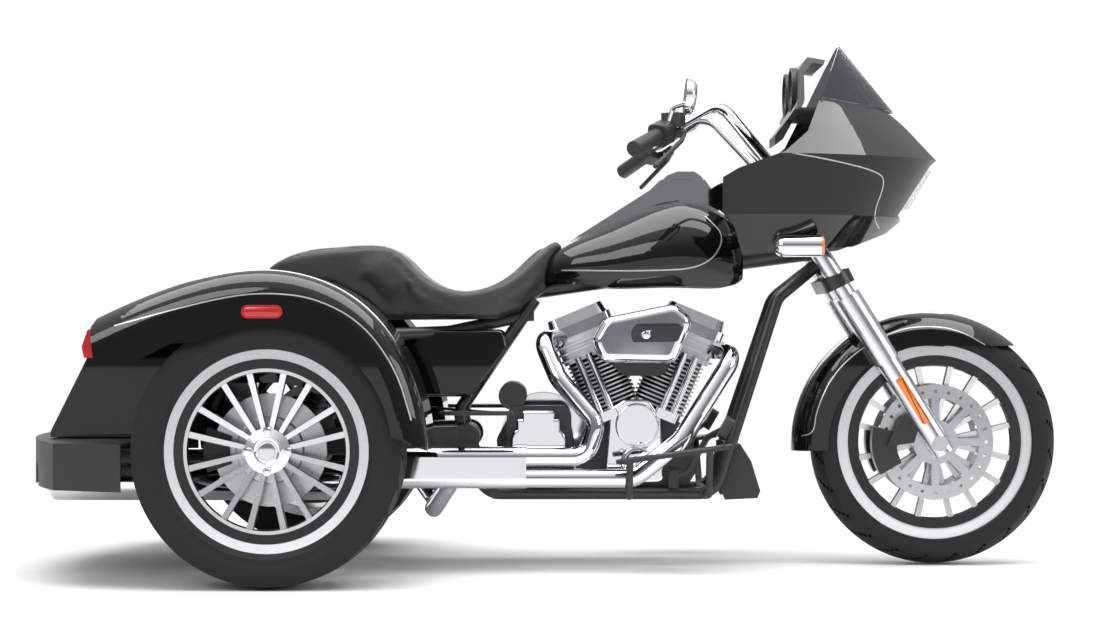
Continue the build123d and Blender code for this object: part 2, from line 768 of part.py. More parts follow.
with BuildPart() as air_cleaner_cover:
    with BuildSketch(side_plane(cleaner_y - 72)) as cleaner_outline:
        with BuildLine():
            Polyline(
                (cleaner_x - 128, cleaner_z - 8),
                (cleaner_x - 94, cleaner_z + 52),
                (cleaner_x + 84, cleaner_z + 88),
                (cleaner_x + 130, cleaner_z + 48),
                (cleaner_x + 84, cleaner_z - 64),
                (cleaner_x - 104, cleaner_z - 60),
                close=True,
            )
        make_face()
        fillet(cleaner_outline.vertices(), 34)
    extrude(amount=78)
    fillet(air_cleaner_cover.faces().sort_by(Axis.Y)[0].edges(), 22)
    with BuildSketch(side_plane(cleaner_y - 72 - 72)) as badge_recess:
        with BuildLine():
            Polyline(
                (cleaner_x - 50, cleaner_z + 6),
                (cleaner_x - 34, cleaner_z + 36),
                (cleaner_x + 110, cleaner_z + 40),
                (cleaner_x + 90, cleaner_z - 8),
                (cleaner_x - 34, cleaner_z - 10),
                close=True,
            )
        make_face()
        fillet(badge_recess.vertices(), 9)
    extrude(amount=10, mode=Mode.SUBTRACT)

# Exhaust: a header from each cylinder, joined in a doubled pipe, and a muffler on each side
header_radius = 24
header_low_z, header_high_z = 236, 290
muffler_radius = 48
muffler_y, muffler_z = 330, 236
header_y = -224
header_paths = [
    # rear cylinder's pipe, front cylinder's pipe, crossover to the left muffler
    (
        [
            (44, -30, 590),
            (-20, -160, 585),
            (20, -200, 490),
            (118, header_y, 376),
            (92, header_y, header_high_z),
            (-200, header_y, header_high_z),
        ],
        [42, 60, 50, 46],
    ),
    (
        [
            (400, -24, 566),
            (474, -150, 548),
            (330, -220, 330),
            (214, header_y, header_low_z),
            (-200, header_y, header_low_z),
        ],
        [44, 60, 60],
    ),
    ([(-236, -206, 250), (-300, -110, 150), (-300, 110, 150), (-380, 200, 250)], [50, 60]),
]
with BuildPart() as exhaust_headers:
    for points, bends in header_paths:
        with BuildLine() as header_path:
            FilletPolyline(*points, radius=bends)
        with BuildSketch(Plane(origin=header_path.line @ 0, z_dir=header_path.line % 0)):
            Circle(header_radius)
        sweep()
    with BuildSketch(cross_plane(-390)):
        with Locations((header_y, 263)):
            RectangleRounded(56, 106, 26)
    extrude(amount=330)
    for port in (cylinders, rocker_boxes):
        add(port.part, mode=Mode.SUBTRACT)

with BuildPart() as mufflers:
    tip_x = -1268
    front_x = -520
    with BuildSketch(cross_plane(tip_x)):
        with Locations((-muffler_y, muffler_z)):
            Circle(muffler_radius)
    extrude(amount=front_x - tip_x)
    with BuildSketch(cross_plane(front_x)):
        with Locations((-muffler_y, muffler_z)):
            Circle(muffler_radius)
    with BuildSketch(cross_plane(-392)):
        with Locations((header_y, 263)):
            Circle(26)
    loft()
    with BuildSketch(cross_plane(tip_x)):
        with Locations((-muffler_y, muffler_z)):
            Circle(muffler_radius - 4)
    extrude(amount=120, mode=Mode.SUBTRACT)
    with BuildSketch(side_plane(-muffler_y + 80)):
        with BuildLine():
            Polyline((tip_x - 5, 300), (tip_x - 5, 160), (tip_x + 50, 160), (tip_x, 300), close=True)
        make_face()
    extrude(amount=160, mode=Mode.SUBTRACT)
    mirror(about=Plane.XZ)

# Fuel tank: lofted over the backbone, with a tunnel underneath for it
tank_sections = [
    # (x, half width at the base, half width at the top, base z, top z)
    (-12, 62, 40, 722, 796),
    (131, 128, 70, 722, 884),
    (260, 150, 88, 722, 938),
    (380, 152, 88, 722, 952),
    (450, 128, 72, 722, 922),
    (500, 84, 54, 744, 872),
]
with BuildPart() as fuel_tank:
    for x, base, top, low, high in tank_sections:
        with BuildSketch(cross_plane(x)):
            height = high - low
            with BuildLine():
                right = ThreePointArc((base * 0.86, low), (base, low + height * 0.38), (top, high - height * 0.1))
                crown = ThreePointArc(right @ 1, (0, high), (-top, high - height * 0.1))
                left = ThreePointArc(crown @ 1, (-base, low + height * 0.38), (-base * 0.86, low))
                Line(left @ 1, right @ 0)
            make_face()
    loft()
    with BuildSketch(side_plane(backbone_tube / 2 + 12)):
        with BuildLine():
            Polyline((-200, 600), (-200, 752), (-84, 752), (330, 812), (620, 866), (620, 600), close=True)
        make_face()
    extrude(amount=backbone_tube + 24, mode=Mode.SUBTRACT)

# Chromed console along the tank's top; its raised head is the fuel door's pocket
console_half_width = 46
console_top, console_seat = 1024, 1002
fuel_door_rear, fuel_door_front = 300, 396
with BuildPart() as tank_console:
    with BuildSketch(side_plane(console_half_width)):
        with BuildLine():
            Polyline(
                (39, 834),
                (260, 975),
                (fuel_door_rear - 12, console_seat),
                (fuel_door_front + 8, console_seat),
                (440, 950),
                (440, 890),
                (70, 800),
                close=True,
            )
        make_face()
    extrude(amount=2 * console_half_width)
    add(fuel_tank.part, mode=Mode.SUBTRACT)
    with BuildSketch(Plane.XY.offset(console_seat - 24)):
        with Locations(((fuel_door_rear + fuel_door_front) / 2 - 4, 0)):
            Circle(30)
    extrude(amount=40, mode=Mode.SUBTRACT)

# Fuel door: a domed lid that tips forward on a hinge barrel at its front edge
fuel_hinge_half = 30
with BuildPart() as fuel_door:
    with BuildSketch(side_plane(console_half_width - 4)):
        with BuildLine():
            Polyline(
                (fuel_door_rear - 6, console_seat + 1),
                (fuel_door_rear + 6, console_seat + 12),
                (fuel_door_rear + 32, console_top),
                (fuel_door_front - 20, console_top),
                (fuel_door_front - 2, console_seat + 10),
                (fuel_door_front, console_seat + 1),
                close=True,
            )
        make_face()
    extrude(amount=2 * (console_half_width - 4))
    with BuildSketch(side_plane(fuel_hinge_half)):
        with Locations((fuel_door_front + 1, console_seat + 4)):
            Circle(3)
    extrude(amount=2 * fuel_hinge_half)

# Rear body: a hollow trunk between the wheels, with its door opening in the sloping rear wall
trunk_half_width = 330
door_foot, door_head = (-1243, 359), (-1155, 536)
deck_front = [(-560, 735), (-470, 686), (-430, 640)]
with BuildPart() as trunk_tub:
    with BuildSketch(side_plane(trunk_half_width)) as tub_outline:
        with BuildLine():
            Polyline(
                (door_foot[0], 345),
                door_foot,
                door_head,
                (-1136, 592),
                (-1080, 640),
                (-740, 735),
                *deck_front,
                (-600, 612),
                (-620, 480),
                (-800, 480),
                (-830, 345),
                close=True,
            )
        make_face()
    extrude(amount=2 * trunk_half_width)
    with BuildSketch(side_plane(trunk_half_width - wall)):
        add(tub_outline.sketch.moved(Location((0, -wall, 0))))
        offset(amount=-wall, mode=Mode.REPLACE)
    extrude(amount=2 * (trunk_half_width - wall), mode=Mode.SUBTRACT)
    with Locations((-612 + wall, 0, 600)):
        Box(wall, 2 * trunk_half_width - wall, 252)
    door_slope = Plane(
        origin=(door_foot[0], 0, door_foot[1]),
        x_dir=(0, -1, 0),
        z_dir=(-(door_head[1] - door_foot[1]), 0, door_head[0] - door_foot[0]),
    )
    door_length = hypot(door_head[0] - door_foot[0], door_head[1] - door_foot[1])
    door_half_width = 296
    door_edge = 8
    with BuildSketch(door_slope.offset(-wall * 3)):
        with Locations((0, door_length / 2)):
            RectangleRounded(2 * door_half_width, door_length - 2 * door_edge, 18)
    extrude(amount=wall * 8, mode=Mode.SUBTRACT)

# Trunk door, let into the opening and turning on a hinge barrel along its bottom edge
trunk_hinge = door_slope.from_local_coords(Vector(0, 12, 8))
trunk_hinge_half = 240
with BuildPart() as trunk_door:
    with BuildSketch(door_slope.offset(-wall)):
        with Locations((0, door_length / 2)):
            RectangleRounded(2 * (door_half_width - gap), door_length - 2 * (door_edge + gap), 14)
    extrude(amount=wall + 5)
    with BuildSketch(door_slope.offset(5)):
        with Locations((0, door_length / 2)):
            RectangleRounded(150, 34, 10)
    extrude(amount=10)
    with BuildSketch(door_slope.offset(9)):
        with Locations((0, door_length / 2 - 4)):
            RectangleRounded(120, 18, 6)
    extrude(amount=8, mode=Mode.SUBTRACT)
    with BuildSketch(side_plane(trunk_hinge_half)):
        with Locations((trunk_hinge.X, trunk_hinge.Z)):
            Circle(5)
    extrude(amount=2 * trunk_hinge_half)


# Rear fenders: a wide arched shell over each wheel, open below, seated on the trunk's side
fender_outer_y, fender_inner_y = fender_to_fender / 2, trunk_half_width
rear_fender_top = [
    (-287, 325),
    (-323, 504),
    (-443, 676),
    (-634, 753),
    (-838, 731),
    (-1067, 641),
]
rear_arch_radius = 298
fender_shoulder = 64

with BuildPart() as fender_right:
    with BuildSketch(side_plane(-fender_inner_y)):
        with BuildLine():
            crown = Spline(*rear_fender_top)
            Polyline(crown @ 1, (-1078, 618), (-1068, 537), (-973, 537), (-620, 470), crown @ 0)
        make_face()
    extrude(amount=fender_outer_y - fender_inner_y)
    outer_face = fender_right.faces().sort_by(Axis.Y)[0]
    fillet(outer_face.edges().sort_by(SortBy.LENGTH)[-1], fender_shoulder)
    underside = fender_right.faces().filter_by(
        lambda face: face.normal_at().Z < -0.3 and abs(face.normal_at().Y) < 0.1
    )
    offset(amount=-wall, openings=underside)
    with BuildSketch(side_plane(-fender_inner_y - wall)):
        with BuildLine():
            arch = ThreePointArc(
                (rear_axle_x + rear_arch_radius, rear_tyre_radius),
                (rear_axle_x, rear_tyre_radius + rear_arch_radius),
                (
                    rear_axle_x + rear_arch_radius * cos(radians(120)),
                    rear_tyre_radius + rear_arch_radius * sin(radians(120)),
                ),
            )
            Polyline(arch @ 1, (-889, 580), (-973, 537), (-973, 300), (-380, 300), arch @ 0)
        make_face()
    extrude(amount=fender_outer_y, mode=Mode.SUBTRACT)
with BuildPart() as fender_left:
    add(fender_right.part)
    mirror(about=Plane.XZ, mode=Mode.REPLACE)

# Tail lamps let into the fenders' rear faces
with BuildPart() as tail_lamps:
    with BuildSketch(side_plane(-384)) as lamp_outline:
        with BuildLine():
            Polyline((-1050, 626), (-1092, 612), (-1106, 572), (-1100, 546), (-1050, 546), close=True)
        make_face()
    extrude(amount=256)
    mirror(about=Plane.XZ)
for fender in (fender_right, fender_left):
    with fender:
        add(tail_lamps.part, mode=Mode.SUBTRACT)

# Rear bumper: a bowed band under the trunk, cut round the two mufflers
bumper_low, bumper_high = 228, 341
bumper_wall = 6
with BuildPart() as rear_bumper:
    with BuildSketch(Plane.XY.offset(bumper_low)) as bumper_plan:
        with BuildLine():
            bow = ThreePointArc((-1190, -560), (rear_end_x, 0), (-1190, 560))
            Polyline(bow @ 1, (-1010, 640), (-985, 640), (-985, -640), (-1010, -640), bow @ 0)
        make_face()
    extrude(amount=bumper_high - bumper_low)
    with BuildSketch(Plane.XY.offset(bumper_low)):
        add(bumper_plan.sketch)
        offset(amount=-bumper_wall, mode=Mode.REPLACE)
    extrude(amount=bumper_high - bumper_low - bumper_wall, mode=Mode.SUBTRACT)
    with BuildSketch(cross_plane(-1180)):
        with Locations((muffler_y, muffler_z), (-muffler_y, muffler_z)):
            Circle(muffler_radius + gap)
    extrude(amount=-200, mode=Mode.SUBTRACT)
    with BuildSketch(Plane.XY.offset(bumper_low)):
        with Locations((-985, 0)):
            Rectangle(60, 1300)
    extrude(amount=bumper_high - bumper_low, mode=Mode.SUBTRACT)

# Side covers under the rider's seat
with BuildPart() as side_covers:
    with BuildSketch(side_plane(-130)) as side_cover_shape:
        with BuildLine():
            Polyline((-352, 440), (-368, 560), (-330, 612), (-120, 612), (-108, 560), (-200, 440), close=True)
        make_face()
        fillet(side_cover_shape.vertices(), 22)
    extrude(amount=26)
    fillet(side_covers.faces().sort_by(Axis.Y)[0].edges(), 9)
    with Locations((-240, -121, 520)):
        Box(40, 22, 60)
    add(main_frame.part, mode=Mode.SUBTRACT)
    mirror(about=Plane.XZ)

# Seat: a deep rider's dish, a pillion pad behind it and a narrow nose against the tank
seat_top = [
    (-738, 764),
    (-654, 806),
    (-520, 824),
    (-391, 812),
    (-325, 752),
    (-215, 708),
    (-120, 738),
    (-30, 822),
    (14, 848),
    (34, 822),
]
seat_base = [(0, 726), (-70, 664), (-130, 642), *reversed(deck_front), (-738, 744)]
seat_half_plan = [
    (36, 40),
    (-20, 76),
    (-90, 138),
    (-190, 186),
    (-290, 182),
    (-380, 158),
    (-560, 152),
    (-680, 140),
    (-738, 104),
]
seat_rounding = 16
with BuildPart() as seat:
    with BuildSketch(side_plane(200)):
        with BuildLine():
            top_line = Spline(*seat_top)
            Polyline(top_line @ 1, *seat_base, top_line @ 0)
        make_face()
    extrude(amount=400)
    with BuildSketch(Plane.XY.offset(600)):
        with BuildLine():
            left_edge = Spline(*seat_half_plan)
            right_edge = Spline(*[(x, -y) for x, y in seat_half_plan])
            Line(left_edge @ 0, right_edge @ 0)
            Line(left_edge @ 1, right_edge @ 1)
        make_face()
    extrude(amount=300, mode=Mode.INTERSECT)
    top_face = max(seat.faces().filter_by(lambda face: face.normal_at().Z > 0.3), key=lambda face: face.area)
    fillet(top_face.edges(), seat_rounding)
    for under in (trunk_tub, main_frame, fuel_tank, tank_console):
        add(under.part, mode=Mode.SUBTRACT)

# Fairing: sections in plan, lofted, trimmed to the side view and hollowed from behind and below
fairing_sections = [
    # (z, nose x, shoulder x, shoulder y, wing x, wing y)
    (770, 800, 745, 130, 470, 236),
    (900, 925, 840, 190, 430, 318),
    (1050, 1014, 905, 200, 430, 332),
    (1130, 940, 850, 160, 520, 292),
    (1215, 868, 800, 110, 640, 236),
]
fairing_side = [
    (431, 992),
    (431, 907),
    (461, 868),
    (484, 800),
    (774, 824),
    (871, 861),
    (910, 892),
    (897, 907),
    (985, 1036),
    (1014, 1057),
    (968, 1106),
    (881, 1170),
    (683, 1195),
    (645, 1109),
    (583, 1055),
    (468, 1014),
]


def fairing_block(skin, behind):
    """The fairing's solid, drawn in by the skin on its outside and longer behind it."""
    with BuildPart() as block:
        for z, nose_x, shoulder_x, shoulder_y, wing_x, wing_y in fairing_sections:
            with BuildSketch(Plane.XY.offset(z)):
                with BuildLine():
                    side = Spline(
                        (wing_x, -wing_y + skin),
                        (shoulder_x - skin * 0.7, -shoulder_y + skin * 0.7),
                        (nose_x - skin, 0),
                        (shoulder_x - skin * 0.7, shoulder_y - skin * 0.7),
                        (wing_x, wing_y - skin),
                    )
                    Polyline(side @ 1, (wing_x - behind, wing_y - skin), (wing_x - behind, skin - wing_y), side @ 0)
                make_face()
        loft(ruled=True)
    return block.part


with BuildPart() as fairing_shell:
    add(fairing_block(0, 2))
    with BuildSketch(side_plane(400)):
        with BuildLine():
            Polyline(*fairing_side, close=True)
        make_face()
    extrude(amount=800, mode=Mode.INTERSECT)
    add(fairing_block(wall, 300), mode=Mode.SUBTRACT)

# Head lamp behind a window in the nose
lamp_low, lamp_high, lamp_half_width = 925, 1024, 118
with BuildPart() as lamp_window:
    with BuildSketch(cross_plane(700)):
        with Locations((0, (lamp_low + lamp_high) / 2)):
            RectangleRounded(2 * lamp_half_width, lamp_high - lamp_low, 34)
    extrude(amount=400)
with BuildPart() as headlamp:
    add(fairing_block(wall / 2, 2))
    add(fairing_block(wall * 4, 300), mode=Mode.SUBTRACT)
    add(lamp_window.part, mode=Mode.INTERSECT)
with fairing_shell:
    add(headlamp.part, mode=Mode.SUBTRACT)

# Inner fairing: the dash panel that faces the rider, with two dials; a shelf ties it to the shell
dash_neck = 82
dash_shelf_half = 214
with BuildPart() as inner_fairing:
    with BuildSketch(side_plane(206)):
        with BuildLine():
            Polyline(
                (583, 1092),
                (583, 1115),
                (614, 1156),
                (633, 1198),
                (635, 1277),
                (661, 1312),
                (706, 1304),
                (702, 1292),
                (672, 1296),
                (650, 1268),
                (648, 1196),
                (628, 1150),
                (604, 1106),
                close=True,
            )
        make_face()
    extrude(amount=412)
    with BuildSketch(cross_plane(500)):
        with BuildLine():
            Polyline(
                (-dash_neck, 1080),
                (-dash_neck, 1152),
                (-206, 1172),
                (-132, 1320),
                (132, 1320),
                (206, 1172),
                (dash_neck, 1152),
                (dash_neck, 1080),
                close=True,
            )
        make_face()
    extrude(amount=300, mode=Mode.INTERSECT)
    with Locations((668, 0, 1173)):
        Box(76, 2 * dash_shelf_half, 6)
    add(fairing_shell.part, mode=Mode.SUBTRACT)
    for y in (-78, 78):
        with BuildSketch(Plane(origin=(640, y, 1232), z_dir=(-1, 0, 0))):
            Circle(58)
            Circle(50, mode=Mode.SUBTRACT)
        extrude(amount=18)

# Windshield: a thin curved sheet sloping back from the fairing, its top edge cut on a slant
screen_slope = Vector(-132, 0, 164).normalized()
screen_thickness = 4
with BuildPart() as windshield:
    with BuildSketch(Plane.XY.offset(1172)):
        with BuildLine():
            outer = Spline((690, -226), (820, -130), (906, 0), (820, 130), (690, 226))
            inner = Spline(
                (690, 226 - screen_thickness),
                (820 - screen_thickness, 130 - screen_thickness),
                (906 - screen_thickness, 0),
                (820 - screen_thickness, -130 + screen_thickness),
                (690, -226 + screen_thickness),
            )
            Line(outer @ 1, inner @ 0)
            Line(inner @ 1, outer @ 0)
        make_face()
    extrude(amount=260, dir=screen_slope)
    with BuildSketch(side_plane(300)):
        with BuildLine():
            Polyline((755, 1357), (690, 1204), (640, 1180), (400, 1180), (400, 1500), (755, 1500), close=True)
        make_face()
        with BuildLine():
            Polyline((1100, 1130), (1100, 1120), (600, 1120), (600, 1206), (690, 1202), (906, 1178), close=True)
        make_face()
    extrude(amount=600, mode=Mode.SUBTRACT)
    add(fairing_shell.part, mode=Mode.SUBTRACT)

# Turn signals on stalks under the fairing's wings
signal_y, signal_z = 296, 822
with BuildPart() as turn_signals:
    with BuildSketch(Plane(origin=(560, -signal_y, signal_z), x_dir=(0, 1, 0), z_dir=(1, 0, 0))):
        Circle(28)
    extrude(amount=118)
    fillet(turn_signals.faces().sort_by(Axis.X)[0].edges(), 24)
    with BuildSketch(Plane(origin=(612, -signal_y, signal_z), z_dir=(0, 1, 0))):
        Circle(9)
    extrude(amount=86)
    add(fairing_block(0, 2), mode=Mode.SUBTRACT)
    mirror(about=Plane.XZ)

# Chin spoiler between the downtubes' feet
spoiler_half_width = frame_y - frame_tube / 2
with BuildPart() as chin_spoiler:
    with BuildSketch(side_plane(spoiler_half_width)):
        with BuildLine():
            Polyline((442, 318), (492, 316), (520, 272), (544, 194), (536, 176), (452, 172), (446, 186), close=True)
        make_face()
    extrude(amount=2 * spoiler_half_width)
    with BuildSketch(side_plane(spoiler_half_width - wall)):
        with BuildLine():
            Polyline((430, 330), (480, 304), (506, 268), (528, 200), (522, 184), (430, 160), close=True)
        make_face()
    extrude(amount=2 * (spoiler_half_width - wall), mode=Mode.SUBTRACT)

# Rider's and passenger's footboards on their brackets
board_thickness = 9
boards = [
    # (rear x, rear z, front x, front z, inner y, outer y)
    (166, 276, 457, 316, 252, 352),
    (-280, 398, -92, 398, 246, 322),
]
with BuildPart() as footboards:
    for rear_x, rear_z, front_x, front_z, inner_y, outer_y in boards:
        along = Vector(front_x - rear_x, 0, front_z - rear_z)
        middle = Vector((rear_x + front_x) / 2, -(inner_y + outer_y) / 2, (rear_z + front_z) / 2)
        with BuildSketch(Plane(origin=middle, x_dir=along, z_dir=Vector(-along.Z, 0, along.X))):
            RectangleRounded(along.length, outer_y - inner_y, 34)
        extrude(amount=board_thickness)
    for points, bends in (
        ([(404, -frame_y, cradle_z), (404, -200, cradle_z), (400, -300, 311)], [40]),
        ([(200, -frame_y, cradle_z), (200, -250, cradle_z), (200, -300, 284)], [30]),
        ([(-226, -frame_y, 386), (-226, -220, 386), (-226, -290, 393)], [30]),
    ):
        with BuildLine() as bracket_path:
            FilletPolyline(*points, radius=bends)
        with BuildSketch(Plane(origin=bracket_path.line @ 0, z_dir=bracket_path.line % 0)):
            Circle(9)
        sweep()
    add(main_frame.part, mode=Mode.SUBTRACT)
    add(exhaust_headers.part, mode=Mode.SUBTRACT)
    mirror(about=Plane.XZ)

# Brake pedal on the right and shift pedal on the left
with BuildPart() as foot_controls:
    with BuildLine() as pedal_path:
        FilletPolyline((318, -168, 240), (352, -168, 250), (398, -236, 340), (440, -290, 366), radius=[20, 30])
    with BuildSketch(Plane(origin=pedal_path.line @ 0, z_dir=pedal_path.line % 0)):
        Circle(8)
    sweep()
    with BuildSketch(Plane(origin=(440, -290, 366), x_dir=(0, 1, 0), z_dir=(0.86, 0, -0.5))):
        RectangleRounded(76, 58, 14)
    extrude(amount=10, both=True)
    with BuildSketch(side_plane(-frame_y)):
        with Locations((318, 240)):
            Circle(12)
    extrude(amount=68)
    with BuildSketch(side_plane(-frame_y + 8)):
        with Locations((318, 214)):
            RectangleRounded(26, 74, 6)
    extrude(amount=16)
    add(main_frame.part, mode=Mode.SUBTRACT)
    mirror(about=Plane.XZ)

# Drive belt and its two pulleys, inside the left swing arm
belt_y, belt_width = 88, 22
front_pulley_radius, rear_pulley_radius = 48, 102
belt_thickness = 7
with BuildPart() as drive_belt:
    with BuildSketch(side_plane(belt_y)) as belt_shape:
        with Locations((gearbox_x, gearbox_z)):
            Circle(front_pulley_radius + belt_thickness)
        with Locations((rear_axle_x, rear_tyre_radius)):
            Circle(rear_pulley_radius + belt_thickness)
        make_hull()
        with BuildSketch(mode=Mode.PRIVATE) as belt_inside:
            with Locations((gearbox_x, gearbox_z)):
                Circle(front_pulley_radius)
            with Locations((rear_axle_x, rear_tyre_radius)):
                Circle(rear_pulley_radius)
            make_hull()
        add(belt_inside.sketch, mode=Mode.SUBTRACT)
    extrude(amount=belt_width)
with BuildPart() as belt_pulleys:
    with BuildSketch(side_plane(belt_y)):
        with Locations((gearbox_x, gearbox_z)):
            Circle(front_pulley_radius)
    extrude(amount=belt_y - gearbox_left_y)
    with BuildSketch(side_plane(belt_y)):
        with Locations((rear_axle_x, rear_tyre_radius)):
            Circle(rear_pulley_radius)
            Circle(34, mode=Mode.SUBTRACT)
    extrude(amount=belt_width)

# Rear brake calipers held by the axle's end flanges
with BuildPart() as rear_calipers:
    centre = (rear_axle_x, -rear_wheel_y, rear_tyre_radius)
    with BuildSketch(wheel_plane(centre, 30)):
        with BuildLine():
            near_arc = CenterArc((0, 0), 96, 160, 40)
            far_arc = CenterArc((0, 0), 158, 160, 40)
            Line(near_arc @ 0, far_arc @ 0)
            Line(near_arc @ 1, far_arc @ 1)
        make_face()
    extrude(amount=48)
    with BuildSketch(wheel_plane(centre, 5)):
        Circle(rear_disc_radius + gap)
    extrude(amount=18, mode=Mode.SUBTRACT)
    with BuildSketch(wheel_plane(centre, 42)):
        with BuildLine():
            Polyline((-20, -44), (-20, 44), (-110, 34), (-130, 20), (-130, -20), (-110, -34), close=True)
        make_face()
    extrude(amount=14)
    add(rear_axle_housing.part, mode=Mode.SUBTRACT)
    mirror(about=Plane.XZ)

# Horn under its cover on the left, between the cylinders
with BuildPart() as horn:
    with BuildSketch(side_plane(132)):
        with Locations((crank_x, 566)):
            Circle(56)
    extrude(amount=34)
    fillet(horn.faces().sort_by(Axis.Y)[-1].edges(), 14)
    with BuildSketch(side_plane(100)):
        with Locations((crank_x, 590)):
            Circle(14)
    extrude(amount=60)
    add(cylinders.part, mode=Mode.SUBTRACT)
    add(rocker_boxes.part, mode=Mode.SUBTRACT)

finished = {
    "front_tyre": front_tyre,
    "front_rim": front_rim,
    "front_discs": front_discs,
    "rear_tyre_right": rear_tyre_right,
    "rear_rim_right": rear_rim_right,
    "rear_disc_right": rear_disc_right,
    "rear_tyre_left": rear_tyre_left,
    "rear_rim_left": rear_rim_left,
    "rear_disc_left": rear_disc_left,
    "fork_legs": fork_legs,
    "yokes": yokes,
    "handlebar": handlebar,
    "hand_controls": hand_controls,
    "mirrors": mirrors,
    "front_fender": front_fender,
    "front_calipers": front_calipers,
    "main_frame": main_frame,
    "rear_axle_housing": rear_axle_housing,
    "rear_shocks": rear_shocks,
    "crankcase": crankcase,
    "cylinders": cylinders,
    "rocker_boxes": rocker_boxes,
    "pushrod_tubes": pushrod_tubes,
    "engine_covers": engine_covers,
    "gearbox": gearbox,
    "primary_cover": primary_cover,
    "gearbox_side_cover": gearbox_side_cover,
    "air_cleaner_base": air_cleaner_base,
    "air_cleaner_cover": air_cleaner_cover,
    "exhaust_headers": exhaust_headers,
    "mufflers": mufflers,
    "fuel_tank": fuel_tank,
    "tank_console": tank_console,
    "fuel_door": fuel_door,
    "trunk_tub": trunk_tub,
    "trunk_door": trunk_door,
    "fender_right": fender_right,
    "fender_left": fender_left,
    "tail_lamps": tail_lamps,
    "rear_bumper": rear_bumper,
    "side_covers": side_covers,
    "seat": seat,
    "fairing_shell": fairing_shell,
    "headlamp": headlamp,
    "inner_fairing": inner_fairing,
    "windshield": windshield,
    "turn_signals": turn_signals,
    "chin_spoiler": chin_spoiler,
    "footboards": footboards,
    "foot_controls": foot_controls,
    "drive_belt": drive_belt,
    "belt_pulleys": belt_pulleys,
    "rear_calipers": rear_calipers,
    "horn": horn,
}
os.makedirs("parts", exist_ok=True)
for label, piece in finished.items():
    piece.part.label = label
    export_step(piece.part, f"parts/{label}.step")
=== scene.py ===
"""The motorized trike's finishes and fine pieces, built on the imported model."""

from math import cos, pi, radians, sin

import bmesh
import bpy
from mathutils import Matrix, Vector


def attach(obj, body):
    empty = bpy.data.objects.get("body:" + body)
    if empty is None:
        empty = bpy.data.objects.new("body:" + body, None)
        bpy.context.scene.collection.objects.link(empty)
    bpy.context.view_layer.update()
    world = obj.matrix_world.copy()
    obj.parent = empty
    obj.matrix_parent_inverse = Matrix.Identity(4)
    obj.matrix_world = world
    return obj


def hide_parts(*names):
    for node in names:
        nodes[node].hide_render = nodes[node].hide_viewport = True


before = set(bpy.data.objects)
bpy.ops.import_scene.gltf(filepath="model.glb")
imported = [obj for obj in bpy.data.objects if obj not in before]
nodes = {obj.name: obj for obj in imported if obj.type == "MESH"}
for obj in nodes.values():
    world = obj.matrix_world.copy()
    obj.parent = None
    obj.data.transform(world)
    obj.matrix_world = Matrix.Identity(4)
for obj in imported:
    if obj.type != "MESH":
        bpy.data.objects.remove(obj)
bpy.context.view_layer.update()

# The studio: a camera level with the tank on the exhaust's side, a white floor that keeps
# the shadow, and large soft lamps overhead. Painted and plated faces mirror a pale room.
scene = bpy.context.scene
scene.view_settings.view_transform = "Standard"
bpy.ops.object.select_all(action="DESELECT")
camera_distance = 6.35
camera_height = 0.625
bpy.ops.object.camera_add(
    location=(0, -camera_distance, camera_height), rotation=(radians(90), 0, 0)
)
camera = bpy.context.object
camera.name = "camera"
camera.data.sensor_width = 36
camera.data.lens = 79.17
camera.data.shift_y = 0.0091
scene.camera = camera

floor_width = 60
floor_drop = 0.002
shadow_reach = 1.3
white_reach = 3.6
bpy.ops.mesh.primitive_plane_add(size=floor_width, location=(0, 0, -floor_drop))
floor = bpy.context.object
floor.name = "floor"
floor_paint = bpy.data.materials.new("floor_paint")
floor_paint.use_nodes = True
floor_skin = floor_paint.node_tree.nodes["Principled BSDF"]
floor_skin.inputs["Base Color"].default_value = (0.93, 0.93, 0.93, 1)
floor_skin.inputs["Roughness"].default_value = 0.9
floor_skin.inputs["Specular IOR Level"].default_value = 0.1
floor_tree = floor_paint.node_tree
floor_out = floor_tree.nodes["Material Output"]
floor_place = floor_tree.nodes.new("ShaderNodeTexCoord")
floor_reach = floor_tree.nodes.new("ShaderNodeVectorMath")
floor_reach.operation = "LENGTH"
floor_fade = floor_tree.nodes.new("ShaderNodeMapRange")
floor_fade.interpolation_type = "SMOOTHSTEP"
floor_fade.inputs["From Min"].default_value = shadow_reach
floor_fade.inputs["From Max"].default_value = white_reach
floor_white = floor_tree.nodes.new("ShaderNodeEmission")
floor_mix = floor_tree.nodes.new("ShaderNodeMixShader")
floor_tree.links.new(floor_place.outputs["Object"], floor_reach.inputs[0])
floor_tree.links.new(floor_reach.outputs["Value"], floor_fade.inputs["Value"])
floor_tree.links.new(floor_fade.outputs["Result"], floor_mix.inputs["Fac"])
floor_tree.links.new(floor_skin.outputs[0], floor_mix.inputs[1])
floor_tree.links.new(floor_white.outputs[0], floor_mix.inputs[2])
floor_tree.links.new(floor_mix.outputs[0], floor_out.inputs["Surface"])
floor.data.materials.append(floor_paint)

